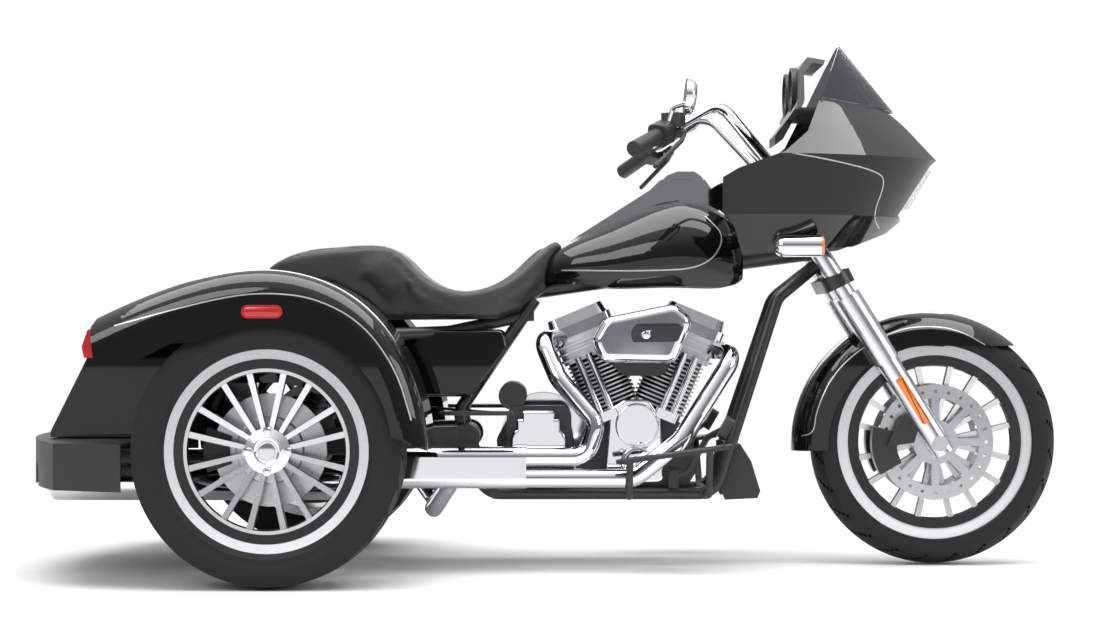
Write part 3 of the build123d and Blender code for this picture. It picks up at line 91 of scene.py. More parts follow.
world = bpy.data.worlds.new("studio")
scene.world = world
world.use_nodes = True
sky = world.node_tree
sky.nodes.clear()
sky_out = sky.nodes.new("ShaderNodeOutputWorld")
sky_mix = sky.nodes.new("ShaderNodeMixShader")
room = sky.nodes.new("ShaderNodeBackground")
room.inputs["Color"].default_value = (0.98, 0.99, 1.0, 1)
room.inputs["Strength"].default_value = 0.42
shown = sky.nodes.new("ShaderNodeBackground")
light_path = sky.nodes.new("ShaderNodeLightPath")
direction = sky.nodes.new("ShaderNodeTexCoord")
split = sky.nodes.new("ShaderNodeSeparateXYZ")
height = sky.nodes.new("ShaderNodeValToRGB")
height.color_ramp.elements[0].position = 0.0
height.color_ramp.elements[0].color = (0.2, 0.2, 0.207, 1)
height.color_ramp.elements[1].position = 0.75
height.color_ramp.elements[1].color = (1, 1, 1, 1)
middle = height.color_ramp.elements.new(0.3)
middle.color = (0.3, 0.3, 0.31, 1)
seen = sky.nodes.new("ShaderNodeMix")
seen.data_type = "RGBA"
seen.inputs["B"].default_value = (1, 1, 1, 1)
mirrored = sky.nodes.new("ShaderNodeMath")
mirrored.operation = "MAXIMUM"
any_view = sky.nodes.new("ShaderNodeMath")
any_view.operation = "MAXIMUM"
sky.links.new(direction.outputs["Generated"], split.inputs[0])
sky.links.new(split.outputs["Z"], height.inputs["Fac"])
sky.links.new(height.outputs["Color"], seen.inputs["A"])
sky.links.new(light_path.outputs["Is Camera Ray"], seen.inputs["Factor"])
sky.links.new(seen.outputs["Result"], shown.inputs["Color"])
sky.links.new(light_path.outputs["Is Glossy Ray"], mirrored.inputs[0])
sky.links.new(light_path.outputs["Is Transmission Ray"], mirrored.inputs[1])
sky.links.new(mirrored.outputs[0], any_view.inputs[0])
sky.links.new(light_path.outputs["Is Camera Ray"], any_view.inputs[1])
sky.links.new(any_view.outputs[0], sky_mix.inputs["Fac"])
sky.links.new(room.outputs[0], sky_mix.inputs[1])
sky.links.new(shown.outputs[0], sky_mix.inputs[2])
sky.links.new(sky_mix.outputs[0], sky_out.inputs["Surface"])

for lamp_name, place, target, size, watts in (
    ("overhead_lamp", (0, -0.6, 4.2), (0, 0, 0), (6.5, 3.2), 300),
    ("front_lamp", (-2.6, -4.6, 3.0), (0, 0, 0.4), (3.0, 2.0), 80),
    ("nose_lamp", (4.6, -2.2, 2.2), (0.4, 0, 0.5), (2.4, 2.0), 60),
    ("back_lamp", (0, 4.8, 3.0), (0, 0, 0.4), (4.5, 2.0), 90),
):
    bpy.ops.object.light_add(type="AREA", location=place)
    lamp = bpy.context.object
    lamp.name = lamp_name
    lamp.rotation_euler = (Vector(target) - Vector(place)).to_track_quat("-Z", "Y").to_euler()
    lamp.data.shape = "RECTANGLE"
    lamp.data.size, lamp.data.size_y = size
    lamp.data.energy = watts

# Frame and axle housing: welded steel tube and a cast housing, both powder coated in satin
# black, whose skin has a fine, slightly pebbled grain.
def new_group(name, inputs, outputs):
    """An empty shader group with named sockets, and its two end nodes."""
    group = bpy.data.node_groups.new(name, "ShaderNodeTree")
    for label, value in inputs.items():
        socket = group.interface.new_socket(label, in_out="INPUT", socket_type="NodeSocketFloat")
        socket.default_value = value
    for label, kind in outputs.items():
        group.interface.new_socket(label, in_out="OUTPUT", socket_type=kind)
    return group, group.nodes.new("NodeGroupInput"), group.nodes.new("NodeGroupOutput")


surface_grain, grain_in, grain_out = new_group(
    "surface_grain",
    {"Scale": 400.0, "Low": 0.3, "High": 0.5},
    {"Roughness": "NodeSocketFloat", "Height": "NodeSocketFloat", "Tone": "NodeSocketFloat"},
)
grain_place = surface_grain.nodes.new("ShaderNodeTexCoord")
fine_noise = surface_grain.nodes.new("ShaderNodeTexNoise")
fine_noise.inputs["Detail"].default_value = 3
broad_noise = surface_grain.nodes.new("ShaderNodeTexNoise")
broad_noise.inputs["Scale"].default_value = 9
broad_noise.inputs["Detail"].default_value = 4
wear_range = surface_grain.nodes.new("ShaderNodeMapRange")
wear_range.inputs["From Min"].default_value = 0.3
wear_range.inputs["From Max"].default_value = 0.7
for noise in (fine_noise, broad_noise):
    surface_grain.links.new(grain_place.outputs["Object"], noise.inputs["Vector"])
surface_grain.links.new(grain_in.outputs["Scale"], fine_noise.inputs["Scale"])
surface_grain.links.new(broad_noise.outputs["Fac"], wear_range.inputs["Value"])
surface_grain.links.new(grain_in.outputs["Low"], wear_range.inputs["To Min"])
surface_grain.links.new(grain_in.outputs["High"], wear_range.inputs["To Max"])
surface_grain.links.new(wear_range.outputs["Result"], grain_out.inputs["Roughness"])
surface_grain.links.new(fine_noise.outputs["Fac"], grain_out.inputs["Height"])
surface_grain.links.new(broad_noise.outputs["Fac"], grain_out.inputs["Tone"])


grain_depth = 0.0006


def finish(name, dark, light, rough, scale, bump, metallic=0.0, shader=None):
    """A material whose colour, gloss and relief vary over the surface."""
    material = bpy.data.materials.new(name)
    material.use_nodes = True
    tree = material.node_tree
    skin = tree.nodes["Principled BSDF"]
    skin.inputs["Metallic"].default_value = metallic
    for socket, value in (shader or {}).items():
        skin.inputs[socket].default_value = value
    grain = tree.nodes.new("ShaderNodeGroup")
    grain.node_tree = surface_grain
    grain.name = "grain"
    grain.inputs["Scale"].default_value = scale
    grain.inputs["Low"].default_value, grain.inputs["High"].default_value = rough
    colour = tree.nodes.new("ShaderNodeMix")
    colour.name = "colour"
    colour.data_type = "RGBA"
    colour.inputs["A"].default_value = (*dark, 1)
    colour.inputs["B"].default_value = (*light, 1)
    relief = tree.nodes.new("ShaderNodeBump")
    relief.name = "relief"
    relief.inputs["Strength"].default_value = bump
    relief.inputs["Distance"].default_value = grain_depth
    tree.links.new(grain.outputs["Tone"], colour.inputs["Factor"])
    tree.links.new(colour.outputs["Result"], skin.inputs["Base Color"])
    tree.links.new(grain.outputs["Roughness"], skin.inputs["Roughness"])
    tree.links.new(grain.outputs["Height"], relief.inputs["Height"])
    tree.links.new(relief.outputs["Normal"], skin.inputs["Normal"])
    return material


def dress(material, *names):
    """Puts one material on CAD nodes."""
    for name in names:
        nodes[name].data.materials.clear()
        nodes[name].data.materials.append(material)


frame_coat = finish(
    "frame_coat", (0.012, 0.012, 0.013), (0.024, 0.024, 0.026), (0.28, 0.42), 900, 0.25
)
dress(frame_coat, "main_frame", "rear_axle_housing", "yokes", "rear_shocks", "belt_pulleys")

# Engine and gearbox: sand cast aluminium cases in wrinkle black, with deep finned cylinders
# whose fin edges are milled bright, and plated covers held by small socket screws.
engine_coat = finish(
    "engine_coat", (0.014, 0.014, 0.015), (0.03, 0.03, 0.032), (0.38, 0.55), 1400, 0.6
)
dress(engine_coat, "crankcase", "gearbox", "air_cleaner_base", "foot_controls")
chrome = finish(
    "chrome", (0.74, 0.75, 0.77), (0.82, 0.83, 0.85), (0.035, 0.09), 300, 0.02, metallic=1.0
)
dress(chrome, "rocker_boxes", "pushrod_tubes", "engine_covers", "primary_cover")
dress(chrome, "gearbox_side_cover", "air_cleaner_cover", "horn")

fin_coat = finish("fin_coat", (0.012, 0.012, 0.013), (0.02, 0.02, 0.022), (0.4, 0.5), 900, 0.3)
dress(fin_coat, "cylinders")
crank_centre = Vector((0.224, 0, 0.268))
cylinder_lean = radians(22.5)
barrel_reach = 0.074
edge_slant = 0.35
fins = fin_coat.node_tree


def fin_node(kind, operation, *inputs):
    """One step of the sum that finds a fin's outer edge."""
    step = fins.nodes.new(kind)
    step.operation = operation
    for slot_number, value in enumerate(inputs):
        if isinstance(value, bpy.types.NodeSocket):
            fins.links.new(value, step.inputs[slot_number])
        else:
            step.inputs[slot_number].default_value = value
    return step


cylinder_place = fins.nodes.new("ShaderNodeTexCoord")
from_crank = fin_node(
    "ShaderNodeVectorMath", "SUBTRACT", cylinder_place.outputs["Object"], crank_centre
)
parts = fins.nodes.new("ShaderNodeSeparateXYZ")
fins.links.new(from_crank.outputs[0], parts.inputs[0])
fore_or_aft = fin_node("ShaderNodeMath", "SIGN", parts.outputs["X"])
flip = fins.nodes.new("ShaderNodeCombineXYZ")
flip.inputs["Y"].default_value = 1
flip.inputs["Z"].default_value = 1
fins.links.new(fore_or_aft.outputs[0], flip.inputs["X"])
cylinder_axis = (sin(cylinder_lean), 0, cos(cylinder_lean))
folded = fin_node("ShaderNodeVectorMath", "MULTIPLY", from_crank.outputs[0], flip.outputs[0])
off_axis = fin_node("ShaderNodeVectorMath", "CROSS_PRODUCT", folded.outputs[0], cylinder_axis)
off_reach = fin_node("ShaderNodeVectorMath", "LENGTH", off_axis.outputs[0])
outside = fin_node("ShaderNodeMath", "GREATER_THAN", off_reach.outputs["Value"], barrel_reach)
folded_normal = fin_node(
    "ShaderNodeVectorMath", "MULTIPLY", cylinder_place.outputs["Normal"], flip.outputs[0]
)
lengthwise = fin_node(
    "ShaderNodeVectorMath", "DOT_PRODUCT", folded_normal.outputs[0], cylinder_axis
)
slant = fin_node("ShaderNodeMath", "ABSOLUTE", lengthwise.outputs["Value"])
edge_face = fin_node("ShaderNodeMath", "LESS_THAN", slant.outputs[0], edge_slant)
milled = fin_node("ShaderNodeMath", "MULTIPLY", outside.outputs[0], edge_face.outputs[0])
milled_colour = fins.nodes.new("ShaderNodeMix")
milled_colour.data_type = "RGBA"
milled_colour.inputs["B"].default_value = (0.66, 0.67, 0.69, 1)
fins.links.new(milled.outputs[0], milled_colour.inputs["Factor"])
fins.links.new(fins.nodes["colour"].outputs["Result"], milled_colour.inputs["A"])
fins.links.new(milled_colour.outputs["Result"], fins.nodes["Principled BSDF"].inputs["Base Color"])
fins.links.new(milled.outputs[0], fins.nodes["Principled BSDF"].inputs["Metallic"])


def pick(piece):
    """Selects one piece alone and makes it the active one."""
    bpy.ops.object.select_all(action="DESELECT")
    piece.select_set(True)
    bpy.context.view_layer.objects.active = piece


def mesh_piece(name, shape, body, material, smooth=40):
    """Makes a bmesh into a named piece that rides on a body."""
    mesh = bpy.data.meshes.new(name)
    shape.to_mesh(mesh)
    shape.free()
    piece = bpy.data.objects.new(name, mesh)
    scene.collection.objects.link(piece)
    mesh.materials.append(material)
    pick(piece)
    bpy.ops.object.shade_smooth_by_angle(angle=radians(smooth))
    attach(piece, body)
    piece.select_set(False)


def socket_screw():
    """One screw head of unit radius at the origin, looking along +Z."""
    head, chamfer, rim, sink = 0.9, 0.14, 0.34, 0.5
    bpy.ops.object.select_all(action="DESELECT")
    bpy.ops.mesh.primitive_cylinder_add(
        vertices=18, radius=1, depth=head, location=(0, 0, head / 2)
    )
    screw = bpy.context.object
    bpy.ops.object.transform_apply(location=True)
    bpy.ops.object.mode_set(mode="EDIT")
    bpy.ops.mesh.select_all(action="DESELECT")
    top = bmesh.from_edit_mesh(screw.data)
    for face in top.faces:
        face.select = face.normal.z > 0.9
    bmesh.update_edit_mesh(screw.data)
    bpy.ops.mesh.bevel(offset=chamfer, segments=2)
    bpy.ops.mesh.inset(thickness=rim)
    bpy.ops.mesh.extrude_region_move(TRANSFORM_OT_translate={"value": (0, 0, -sink)})
    bpy.ops.object.mode_set(mode="OBJECT")
    mesh = screw.data.copy()
    bpy.data.objects.remove(screw)
    return mesh


screw_mesh = socket_screw()


def screws(name, body, radius, places):
    """Plated copies of the screw head as one piece: places are (point, direction)."""
    shape = bmesh.new()
    for point, looking in places:
        copy = screw_mesh.copy()
        turn = Vector((0, 0, 1)).rotation_difference(Vector(looking)).to_matrix().to_4x4()
        copy.transform(Matrix.Translation(point) @ turn @ Matrix.Scale(radius, 4))
        shape.from_mesh(copy)
        bpy.data.meshes.remove(copy)
    mesh_piece(name, shape, body, chrome, 30)


clear_of_all = 2.0


def on_skin(node, point, toward):
    """Where a line through a point first meets a node or piece, and the skin's normal there."""
    start = Vector(point) - Vector(toward) * clear_of_all
    piece = nodes.get(node) or bpy.data.objects[node]
    hit, place, normal, _ = piece.ray_cast(start, Vector(toward).normalized())
    return (place, normal) if hit else (None, None)


def ring_of_screws(name, node, body, centre, reach, count, radius, toward, start):
    """Screws on a circle seen along toward, from start degrees, seated on the node's skin."""
    places = []
    for step in range(count):
        angle = radians(start) + 2 * pi * step / count
        at = Vector(centre) + Vector((cos(angle) * reach, 0, sin(angle) * reach))
        place, _ = on_skin(node, at, toward)
        if place is not None:
            places.append((place, -Vector(toward)))
    screws(name, body, radius, places)


ring_of_screws(
    "cam_cover_screws",
    "engine_covers",
    "chassis",
    centre=crank_centre,
    reach=0.052,
    count=6,
    radius=0.0042,
    toward=(0, 1, 0),
    start=20,
)
ring_of_screws(
    "clutch_cover_screws",
    "primary_cover",
    "chassis",
    centre=(-0.03, 0, 0.32),
    reach=0.062,
    count=5,
    radius=0.0045,
    toward=(0, -1, 0),
    start=10,
)

# Exhaust: two chromed headers from the heads down to a pair of long chromed mufflers, with
# heat shields held by band clamps.
dress(chrome, "exhaust_headers", "mufflers")

# Wheels: gloss black castings whose outer faces are then turned bright on a lathe, which
# leaves fine rings; drilled steel brake discs, and black calipers.
brake_steel = finish(
    "brake_steel", (0.5, 0.5, 0.51), (0.62, 0.62, 0.63), (0.22, 0.34), 500, 0.08, metallic=1.0
)
dress(brake_steel, "front_discs", "rear_disc_right", "rear_disc_left")
caliper_coat = finish(
    "caliper_coat", (0.014, 0.014, 0.015), (0.03, 0.03, 0.031), (0.3, 0.4), 700, 0.2
)
dress(caliper_coat, "front_calipers", "rear_calipers")
front_axle_x = 1.002
front_tyre_radius = 0.3195
rear_axle_x = -0.668
rear_tyre_radius = 0.3255
rear_track_half = 0.565
wheel_centres = {
    "front": Vector((front_axle_x, 0, front_tyre_radius)),
    "right": Vector((rear_axle_x, -rear_track_half, rear_tyre_radius)),
    "left": Vector((rear_axle_x, rear_track_half, rear_tyre_radius)),
}
front_dark_band = (0.200, 0.226)
rear_dark_band = (0.196, 0.219)


def turned_face(name, centre, dark_band):
    """Bright where the casting looks sideways, black in the pockets and over dark_band."""
    pocket_facing, face_facing = 0.80, 0.86
    pocket_gloss, face_gloss = 0.14, 0.26
    material = finish(name, (0.008, 0.008, 0.009), (0.012, 0.012, 0.013), (0.12, 0.2), 500, 0.05)
    tree = material.node_tree
    skin = tree.nodes["Principled BSDF"]
    place = tree.nodes.new("ShaderNodeTexCoord")
    facing = tree.nodes.new("ShaderNodeSeparateXYZ")
    size = tree.nodes.new("ShaderNodeMath")
    size.operation = "ABSOLUTE"
    mask = tree.nodes.new("ShaderNodeMapRange")
    mask.inputs["From Min"].default_value = pocket_facing
    mask.inputs["From Max"].default_value = face_facing
    tree.links.new(place.outputs["Normal"], facing.inputs[0])
    tree.links.new(facing.outputs["Y"], size.inputs[0])
    tree.links.new(size.outputs[0], mask.inputs["Value"])
    about = tree.nodes.new("ShaderNodeMapping")
    about.inputs["Location"].default_value = -centre
    tree.links.new(place.outputs["Object"], about.inputs["Vector"])
    spread = tree.nodes.new("ShaderNodeVectorMath")
    spread.operation = "MULTIPLY"
    spread.inputs[1].default_value = (1, 0, 1)
    reach = tree.nodes.new("ShaderNodeVectorMath")
    reach.operation = "LENGTH"
    band = tree.nodes.new("ShaderNodeMath")
    band.operation = "COMPARE"
    band.inputs[1].default_value = sum(dark_band) / 2
    band.inputs[2].default_value = (dark_band[1] - dark_band[0]) / 2
    bare = tree.nodes.new("ShaderNodeMath")
    bare.operation = "SUBTRACT"
    bare.use_clamp = True
    tree.links.new(about.outputs["Vector"], spread.inputs[0])
    tree.links.new(spread.outputs["Vector"], reach.inputs[0])
    tree.links.new(reach.outputs["Value"], band.inputs[0])
    tree.links.new(mask.outputs["Result"], bare.inputs[0])
    tree.links.new(band.outputs[0], bare.inputs[1])
    bright = tree.nodes.new("ShaderNodeMix")
    bright.data_type = "RGBA"
    bright.inputs["B"].default_value = (0.78, 0.79, 0.81, 1)
    tree.links.new(bare.outputs[0], bright.inputs["Factor"])
    tree.links.new(tree.nodes["colour"].outputs["Result"], bright.inputs["A"])
    tree.links.new(bright.outputs["Result"], skin.inputs["Base Color"])
    tree.links.new(bare.outputs[0], skin.inputs["Metallic"])
    shine = tree.nodes.new("ShaderNodeMix")
    shine.inputs["A"].default_value = pocket_gloss
    shine.inputs["B"].default_value = face_gloss
    tree.links.new(bare.outputs[0], shine.inputs["Factor"])
    tree.links.new(shine.outputs["Result"], skin.inputs["Roughness"])
    rings = tree.nodes.new("ShaderNodeTexWave")
    rings.wave_type = "RINGS"
    rings.rings_direction = "Y"
    rings.inputs["Scale"].default_value = 420
    tree.links.new(about.outputs["Vector"], rings.inputs["Vector"])
    lathe = tree.nodes["relief"]
    lathe.inputs["Strength"].default_value = 0.06
    tree.links.new(rings.outputs["Fac"], lathe.inputs["Height"])
    return material


dress(turned_face("front_wheel_face", wheel_centres["front"], front_dark_band), "front_rim")
dress(turned_face("right_wheel_face", wheel_centres["right"], rear_dark_band), "rear_rim_right")
dress(turned_face("left_wheel_face", wheel_centres["left"], rear_dark_band), "rear_rim_left")

# Tyres: moulded rubber with a grooved tread and raised ribs round the walls. Each is spun
# from its section, and the grooves are then pressed into the tread.
rubber = finish(
    "tyre_rubber",
    (0.006, 0.006, 0.0062),
    (0.012, 0.012, 0.0125),
    (0.55, 0.7),
    1600,
    0.3,
    shader={"Specular IOR Level": 0.3},
)
front_tyre_width = 0.130
rear_tyre_width = 0.215
tread_share = 0.93
groove_depth = 0.005


def tyre_section(width, radius, rim_radius, crown_drop, rim_width, crown_steps):
    """Half widths and radii from one bead round the crown to the other."""
    half, rim_half = width / 2, rim_width / 2
    shoulder = radius - crown_drop
    wall = shoulder - rim_radius
    crown = []
    for step in range(crown_steps + 1):
        across = -1 + 2 * step / crown_steps
        crown.append((across * half * tread_share, radius - crown_drop * across * across))
    side = [
        (half * 0.985, rim_radius + wall * 0.80),
        (half * 1.0, rim_radius + wall * 0.66),
        (half * 1.0, rim_radius + wall * 0.5),
        (half * 0.985, rim_radius + wall * 0.47),
        (half * 0.985, rim_radius + wall * 0.40),
        (half * 0.97, rim_radius + wall * 0.28),
        (rim_half + 0.006, rim_radius + 0.019),
        (rim_half + 0.0005, rim_radius + 0.0125),
        (rim_half - 0.005, rim_radius + 0.0125),
    ]
    return [(-y, r) for y, r in reversed(side)] + crown + side


def tread_tyre(name, body, node, centre, section, steps, groove):
    """Spins the section round the axle, then sinks the faces that groove() picks."""
    bpy.ops.object.select_all(action="DESELECT")
    bpy.ops.mesh.primitive_circle_add(vertices=len(section), radius=1, location=(0, 0, 0))
    tyre = bpy.context.object
    tyre.name = name
    for vertex, (across, reach) in zip(tyre.data.vertices, section):
        vertex.co = centre + Vector((0, across, reach))
    bpy.ops.object.mode_set(mode="EDIT")
    bpy.ops.mesh.select_all(action="SELECT")
    bpy.ops.mesh.spin(steps=steps, angle=2 * pi, center=centre, axis=(0, 1, 0))
    bpy.ops.mesh.select_all(action="SELECT")
    bpy.ops.mesh.remove_doubles(threshold=0.00005)
    bpy.ops.mesh.normals_make_consistent(inside=False)
    bpy.ops.mesh.select_all(action="DESELECT")
    bpy.ops.mesh.select_mode(type="FACE")
    shape = bmesh.from_edit_mesh(tyre.data)
    for face in shape.faces:
        spot = face.calc_center_median() - centre
        from_axle = Vector((spot.x, spot.z))
        turn = (Vector((1, 0)).angle_signed(from_axle) / (2 * pi)) % 1.0
        face.select = groove(int(turn * steps), spot.y, from_axle.length)
    bmesh.update_edit_mesh(tyre.data)
    bpy.ops.mesh.extrude_region_move()
    bpy.ops.transform.shrink_fatten(value=-groove_depth)
    bpy.ops.mesh.select_all(action="DESELECT")
    bpy.ops.object.mode_set(mode="OBJECT")
    tyre.data.materials.append(rubber)
    bpy.ops.object.shade_smooth_by_angle(angle=radians(32))
    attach(tyre, body)
    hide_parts(node)


front_section = tyre_section(
    front_tyre_width,
    front_tyre_radius,
    rim_radius=0.241,
    crown_drop=0.026,
    rim_width=0.092,
    crown_steps=14,
)
rear_section = tyre_section(
    rear_tyre_width,
    rear_tyre_radius,
    rim_radius=0.229,
    crown_drop=0.007,
    rim_width=0.180,
    crown_steps=18,
)
front_tread_floor = 0.291
rear_tread_floor = 0.316
front_tyre_steps = 192
rear_tyre_steps = 196


def front_groove(step, across, reach):
    """Slanted grooves that meet ahead of the crown."""
    spacing, slant, stagger = 8, 7, 4
    share = abs(across) / (front_tyre_width / 2)
    shift = int(share * slant) + (stagger if across > 0 else 0)
    on_tread = reach > front_tread_floor and 0.12 < share < tread_share
    return on_tread and (step + shift) % spacing == 0


def rear_groove(step, across, reach):
    """Two round grooves with short slanted ones out to the shoulders."""
    spacing, slant, stagger = 7, 9, 3
    share = abs(across) / (rear_tyre_width / 2)
    if reach < rear_tread_floor:
        return False
    if 0.22 < share < 0.32:
        return True
    shift = int(share * slant) + (stagger if across > 0 else 0)
    return 0.38 < share < tread_share and (step + shift) % spacing == 0


tread_tyre(
    "front_tyre_tread",
    "front_wheel",
    "front_tyre",
    wheel_centres["front"],
    front_section,
    front_tyre_steps,
    front_groove,
)
for side_name in ("right", "left"):
    tread_tyre(
        f"rear_tyre_tread_{side_name}",
        f"rear_wheel_{side_name}",
        f"rear_tyre_{side_name}",
        wheel_centres[side_name],
        rear_section,
        rear_tyre_steps,
        rear_groove,
    )

# Front end: polished aluminium sliders that carry the axle, below yokes in the frame's
# satin black.
slider_silver = finish(
    "slider_silver", (0.62, 0.63, 0.65), (0.7, 0.71, 0.73), (0.2, 0.28), 500, 0.03, metallic=1.0
)
dress(slider_silver, "fork_legs")

# Bodywork: pressed steel and moulded panels in deep gloss black under clear lacquer, with
# thin silver pinstripes laid on by hand. The console, bars, mirrors and signals are plated.
black_paint = finish(
    "black_paint",
    (0.0015, 0.0015, 0.0018),
    (0.0025, 0.0025, 0.0028),
    (0.3, 0.4),
    260,
    0.02,
    shader={"Coat Weight": 1.0, "Coat Roughness": 0.02, "Specular IOR Level": 0.05},
)
dress(black_paint, "front_fender", "fuel_tank", "fender_right", "fender_left", "trunk_tub")
dress(black_paint, "trunk_door", "side_covers", "fairing_shell")
dress(chrome, "tank_console", "fuel_door", "handlebar", "mirrors", "turn_signals")
stripe_silver = finish(
    "stripe_silver", (0.42, 0.43, 0.45), (0.5, 0.51, 0.53), (0.28, 0.36), 900, 0.03, metallic=0.6
)


def rounded(route, passes=3):
    """The route with its corners cut round."""
    points = [Vector(p) for p in route]
    for _ in range(passes):
        cut = [points[0]]
        for a, b in zip(points, points[1:]):
            cut += [a.lerp(b, 0.25), a.lerp(b, 0.75)]
        points = cut + [points[-1]]
    return points


stripe_width = 0.0032
fine_stripe_width = 0.0026
stripe_step = 0.006
stripe_lift = 0.0004
longest_jump = 0.03


def pinstripe(name, body, node, side, route, width=stripe_width):
    """A thin painted line laid on a node's skin, from points seen from the side."""
    path = rounded(route)
    points = []
    for a, b in zip(path, path[1:]):
        count = max(1, int((b - a).length / stripe_step))
        points += [a.lerp(b, step / count) for step in range(count)]
    points.append(path[-1])
    shape = bmesh.new()
    rows = []
    for index, point in enumerate(points):
        ahead = points[min(index + 1, len(points) - 1)] - points[max(index - 1, 0)]
        across = Vector((-ahead.y, ahead.x)).normalized() * width / 2
        row = []
        for edge in (point - across, point + across):
            place, normal = on_skin(node, (edge.x, 0, edge.y), (0, -side, 0))
            if place is None:
                break
            row.append(place + normal * stripe_lift)
        rows.append(row if len(row) == 2 else None)
    made = [[shape.verts.new(p) for p in row] if row else None for row in rows]
    for first, second in zip(made, made[1:]):
        if first and second and (first[0].co - second[0].co).length < longest_jump:
            order = [first[0], second[0], second[1], first[1]]
            shape.faces.new(order if side > 0 else order[::-1])
    mesh_piece(name, shape, body, stripe_silver, 60)


both_sides = ((-1, "right"), (1, "left"))
fairing_route = [
    (0.600, 1.050), (0.700, 1.035), (0.830, 1.010), (0.850, 0.985), (0.818, 0.900), (0.845, 0.870),
]
tank_route = [(0.03, 0.765), (0.25, 0.762), (0.40, 0.770), (0.455, 0.85), (0.40, 0.905)]
rear_fender_route = [
    (-1.02, 0.622), (-0.90, 0.655), (-0.76, 0.690), (-0.66, 0.700),
    (-0.55, 0.688), (-0.44, 0.630), (-0.36, 0.520), (-0.325, 0.400),
]
front_fender_route = [
    (1.150, 0.560), (1.06, 0.612), (0.98, 0.622), (0.90, 0.612), (0.80, 0.560),
    (0.73, 0.490), (0.69, 0.40), (0.685, 0.345), (0.655, 0.335),
]
for side, side_name in both_sides:
    pinstripe(
        f"fairing_stripe_{side_name}", "chassis", "fairing_shell", side, fairing_route
    )
    pinstripe(f"tank_stripe_{side_name}", "chassis", "fuel_tank", side, tank_route)
for side, side_name in both_sides:
    pinstripe(
        f"rear_fender_stripe_{side_name}",
        "chassis",
        f"fender_{side_name}",
        side,
        rear_fender_route,
    )
    pinstripe(
        f"front_fender_stripe_{side_name}",
        "steering",
        "front_fender",
        side,
        front_fender_route,
        fine_stripe_width,
    )

# Markers and reflectors: moulded plastic blocks with a raised rim, stuck or screwed on: red
# ovals on the rear fenders and amber strips on the fork's sliders.
amber = finish(
    "amber_lens", (0.75, 0.16, 0.008), (0.85, 0.2, 0.012), (0.1, 0.18), 200, 0.08,
    shader={"Coat Weight": 1.0, "Coat Roughness": 0.03},
)
red_marker = finish(
    "red_marker", (0.4, 0.005, 0.006), (0.5, 0.008, 0.01), (0.12, 0.2), 260, 0.1,
    shader={"Coat Weight": 1.0, "Coat Roughness": 0.03},
)


def framed_lens(name, body, centre, size, corner, tilt, side, material):
    """A rounded block with a rim: size is length, height and depth, its face to the side."""
    length, height, depth = size
    bpy.ops.object.select_all(action="DESELECT")
    bpy.ops.mesh.primitive_cube_add(size=1, location=(0, 0, 0))
    lens = bpy.context.object
    lens.name = name
    lens.scale = (length, depth, height)
    bpy.ops.object.transform_apply(location=False, rotation=False, scale=True)
    bpy.ops.object.mode_set(mode="EDIT")
    bpy.ops.mesh.select_mode(type="EDGE")
    shape = bmesh.from_edit_mesh(lens.data)
    for edge in shape.edges:
        along = (edge.verts[0].co - edge.verts[1].co).normalized()
        edge.select = abs(along.y) > 0.9
    bmesh.update_edit_mesh(lens.data)
    bpy.ops.mesh.bevel(offset=corner, segments=8)
    bpy.ops.mesh.select_mode(type="FACE")
    bpy.ops.mesh.select_all(action="DESELECT")
    shape = bmesh.from_edit_mesh(lens.data)
    for face in shape.faces:
        face.select = face.normal.y < -0.9
    bmesh.update_edit_mesh(lens.data)
    # a flat rim, a step down inside it, and a face that rises a little
    bpy.ops.mesh.inset(thickness=depth * 0.35)
    bpy.ops.mesh.inset(thickness=depth * 0.12, depth=-depth * 0.25)
    bpy.ops.mesh.inset(thickness=depth * 0.4, depth=depth * 0.12)
    bpy.ops.object.mode_set(mode="OBJECT")
    turn = Matrix.Rotation(tilt, 4, "Y")
    if side > 0:
        turn = turn @ Matrix.Rotation(pi, 4, "Z")
    lens.data.transform(Matrix.Translation(centre) @ turn)
    lens.data.materials.append(material)
    bpy.ops.object.shade_smooth_by_angle(angle=radians(30))
    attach(lens, body)
    lens.select_set(False)


fork_lean = radians(32)
marker_sink = 0.0025
marker_point = (-0.674, 0, 0.655)
reflector_point = (0.931, 0, 0.430)
for side, side_name in both_sides:
    place, _ = on_skin(f"fender_{side_name}", marker_point, (0, -side, 0))
    framed_lens(
        f"side_marker_{side_name}",
        "chassis",
        centre=place - Vector((0, side * marker_sink, 0)),
        size=(0.096, 0.031, 0.010),
        corner=0.0145,
        tilt=0,
        side=side,
        material=red_marker,
    )
    place, _ = on_skin("fork_legs", reflector_point, (0, -side, 0))
    framed_lens(
        f"fork_reflector_{side_name}",
        "steering",
        centre=place,
        size=(0.022, 0.135, 0.006),
        corner=0.003,
        tilt=-fork_lean,
        side=side,
        material=amber,
    )

# Engine trim: a bare black plate that one screw holds to the air cleaner's cover, and the
# stepped, plated dome pressed into the middle of the cam cover.
plate_point = (0.272, 0, 0.600)
cover_face, _ = on_skin("air_cleaner_cover", plate_point, (0, 1, 0))
framed_lens(
    "air_cleaner_badge_plate",
    "chassis",
    centre=cover_face,
    size=(0.135, 0.056, 0.005),
    corner=0.026,
    tilt=0,
    side=-1,
    material=engine_coat,
)
screw_seat = cover_face + Vector((-0.03, -0.001, 0))
screws("air_cleaner_screw", "chassis", radius=0.0095, places=[(screw_seat, (0, -1, 0))])


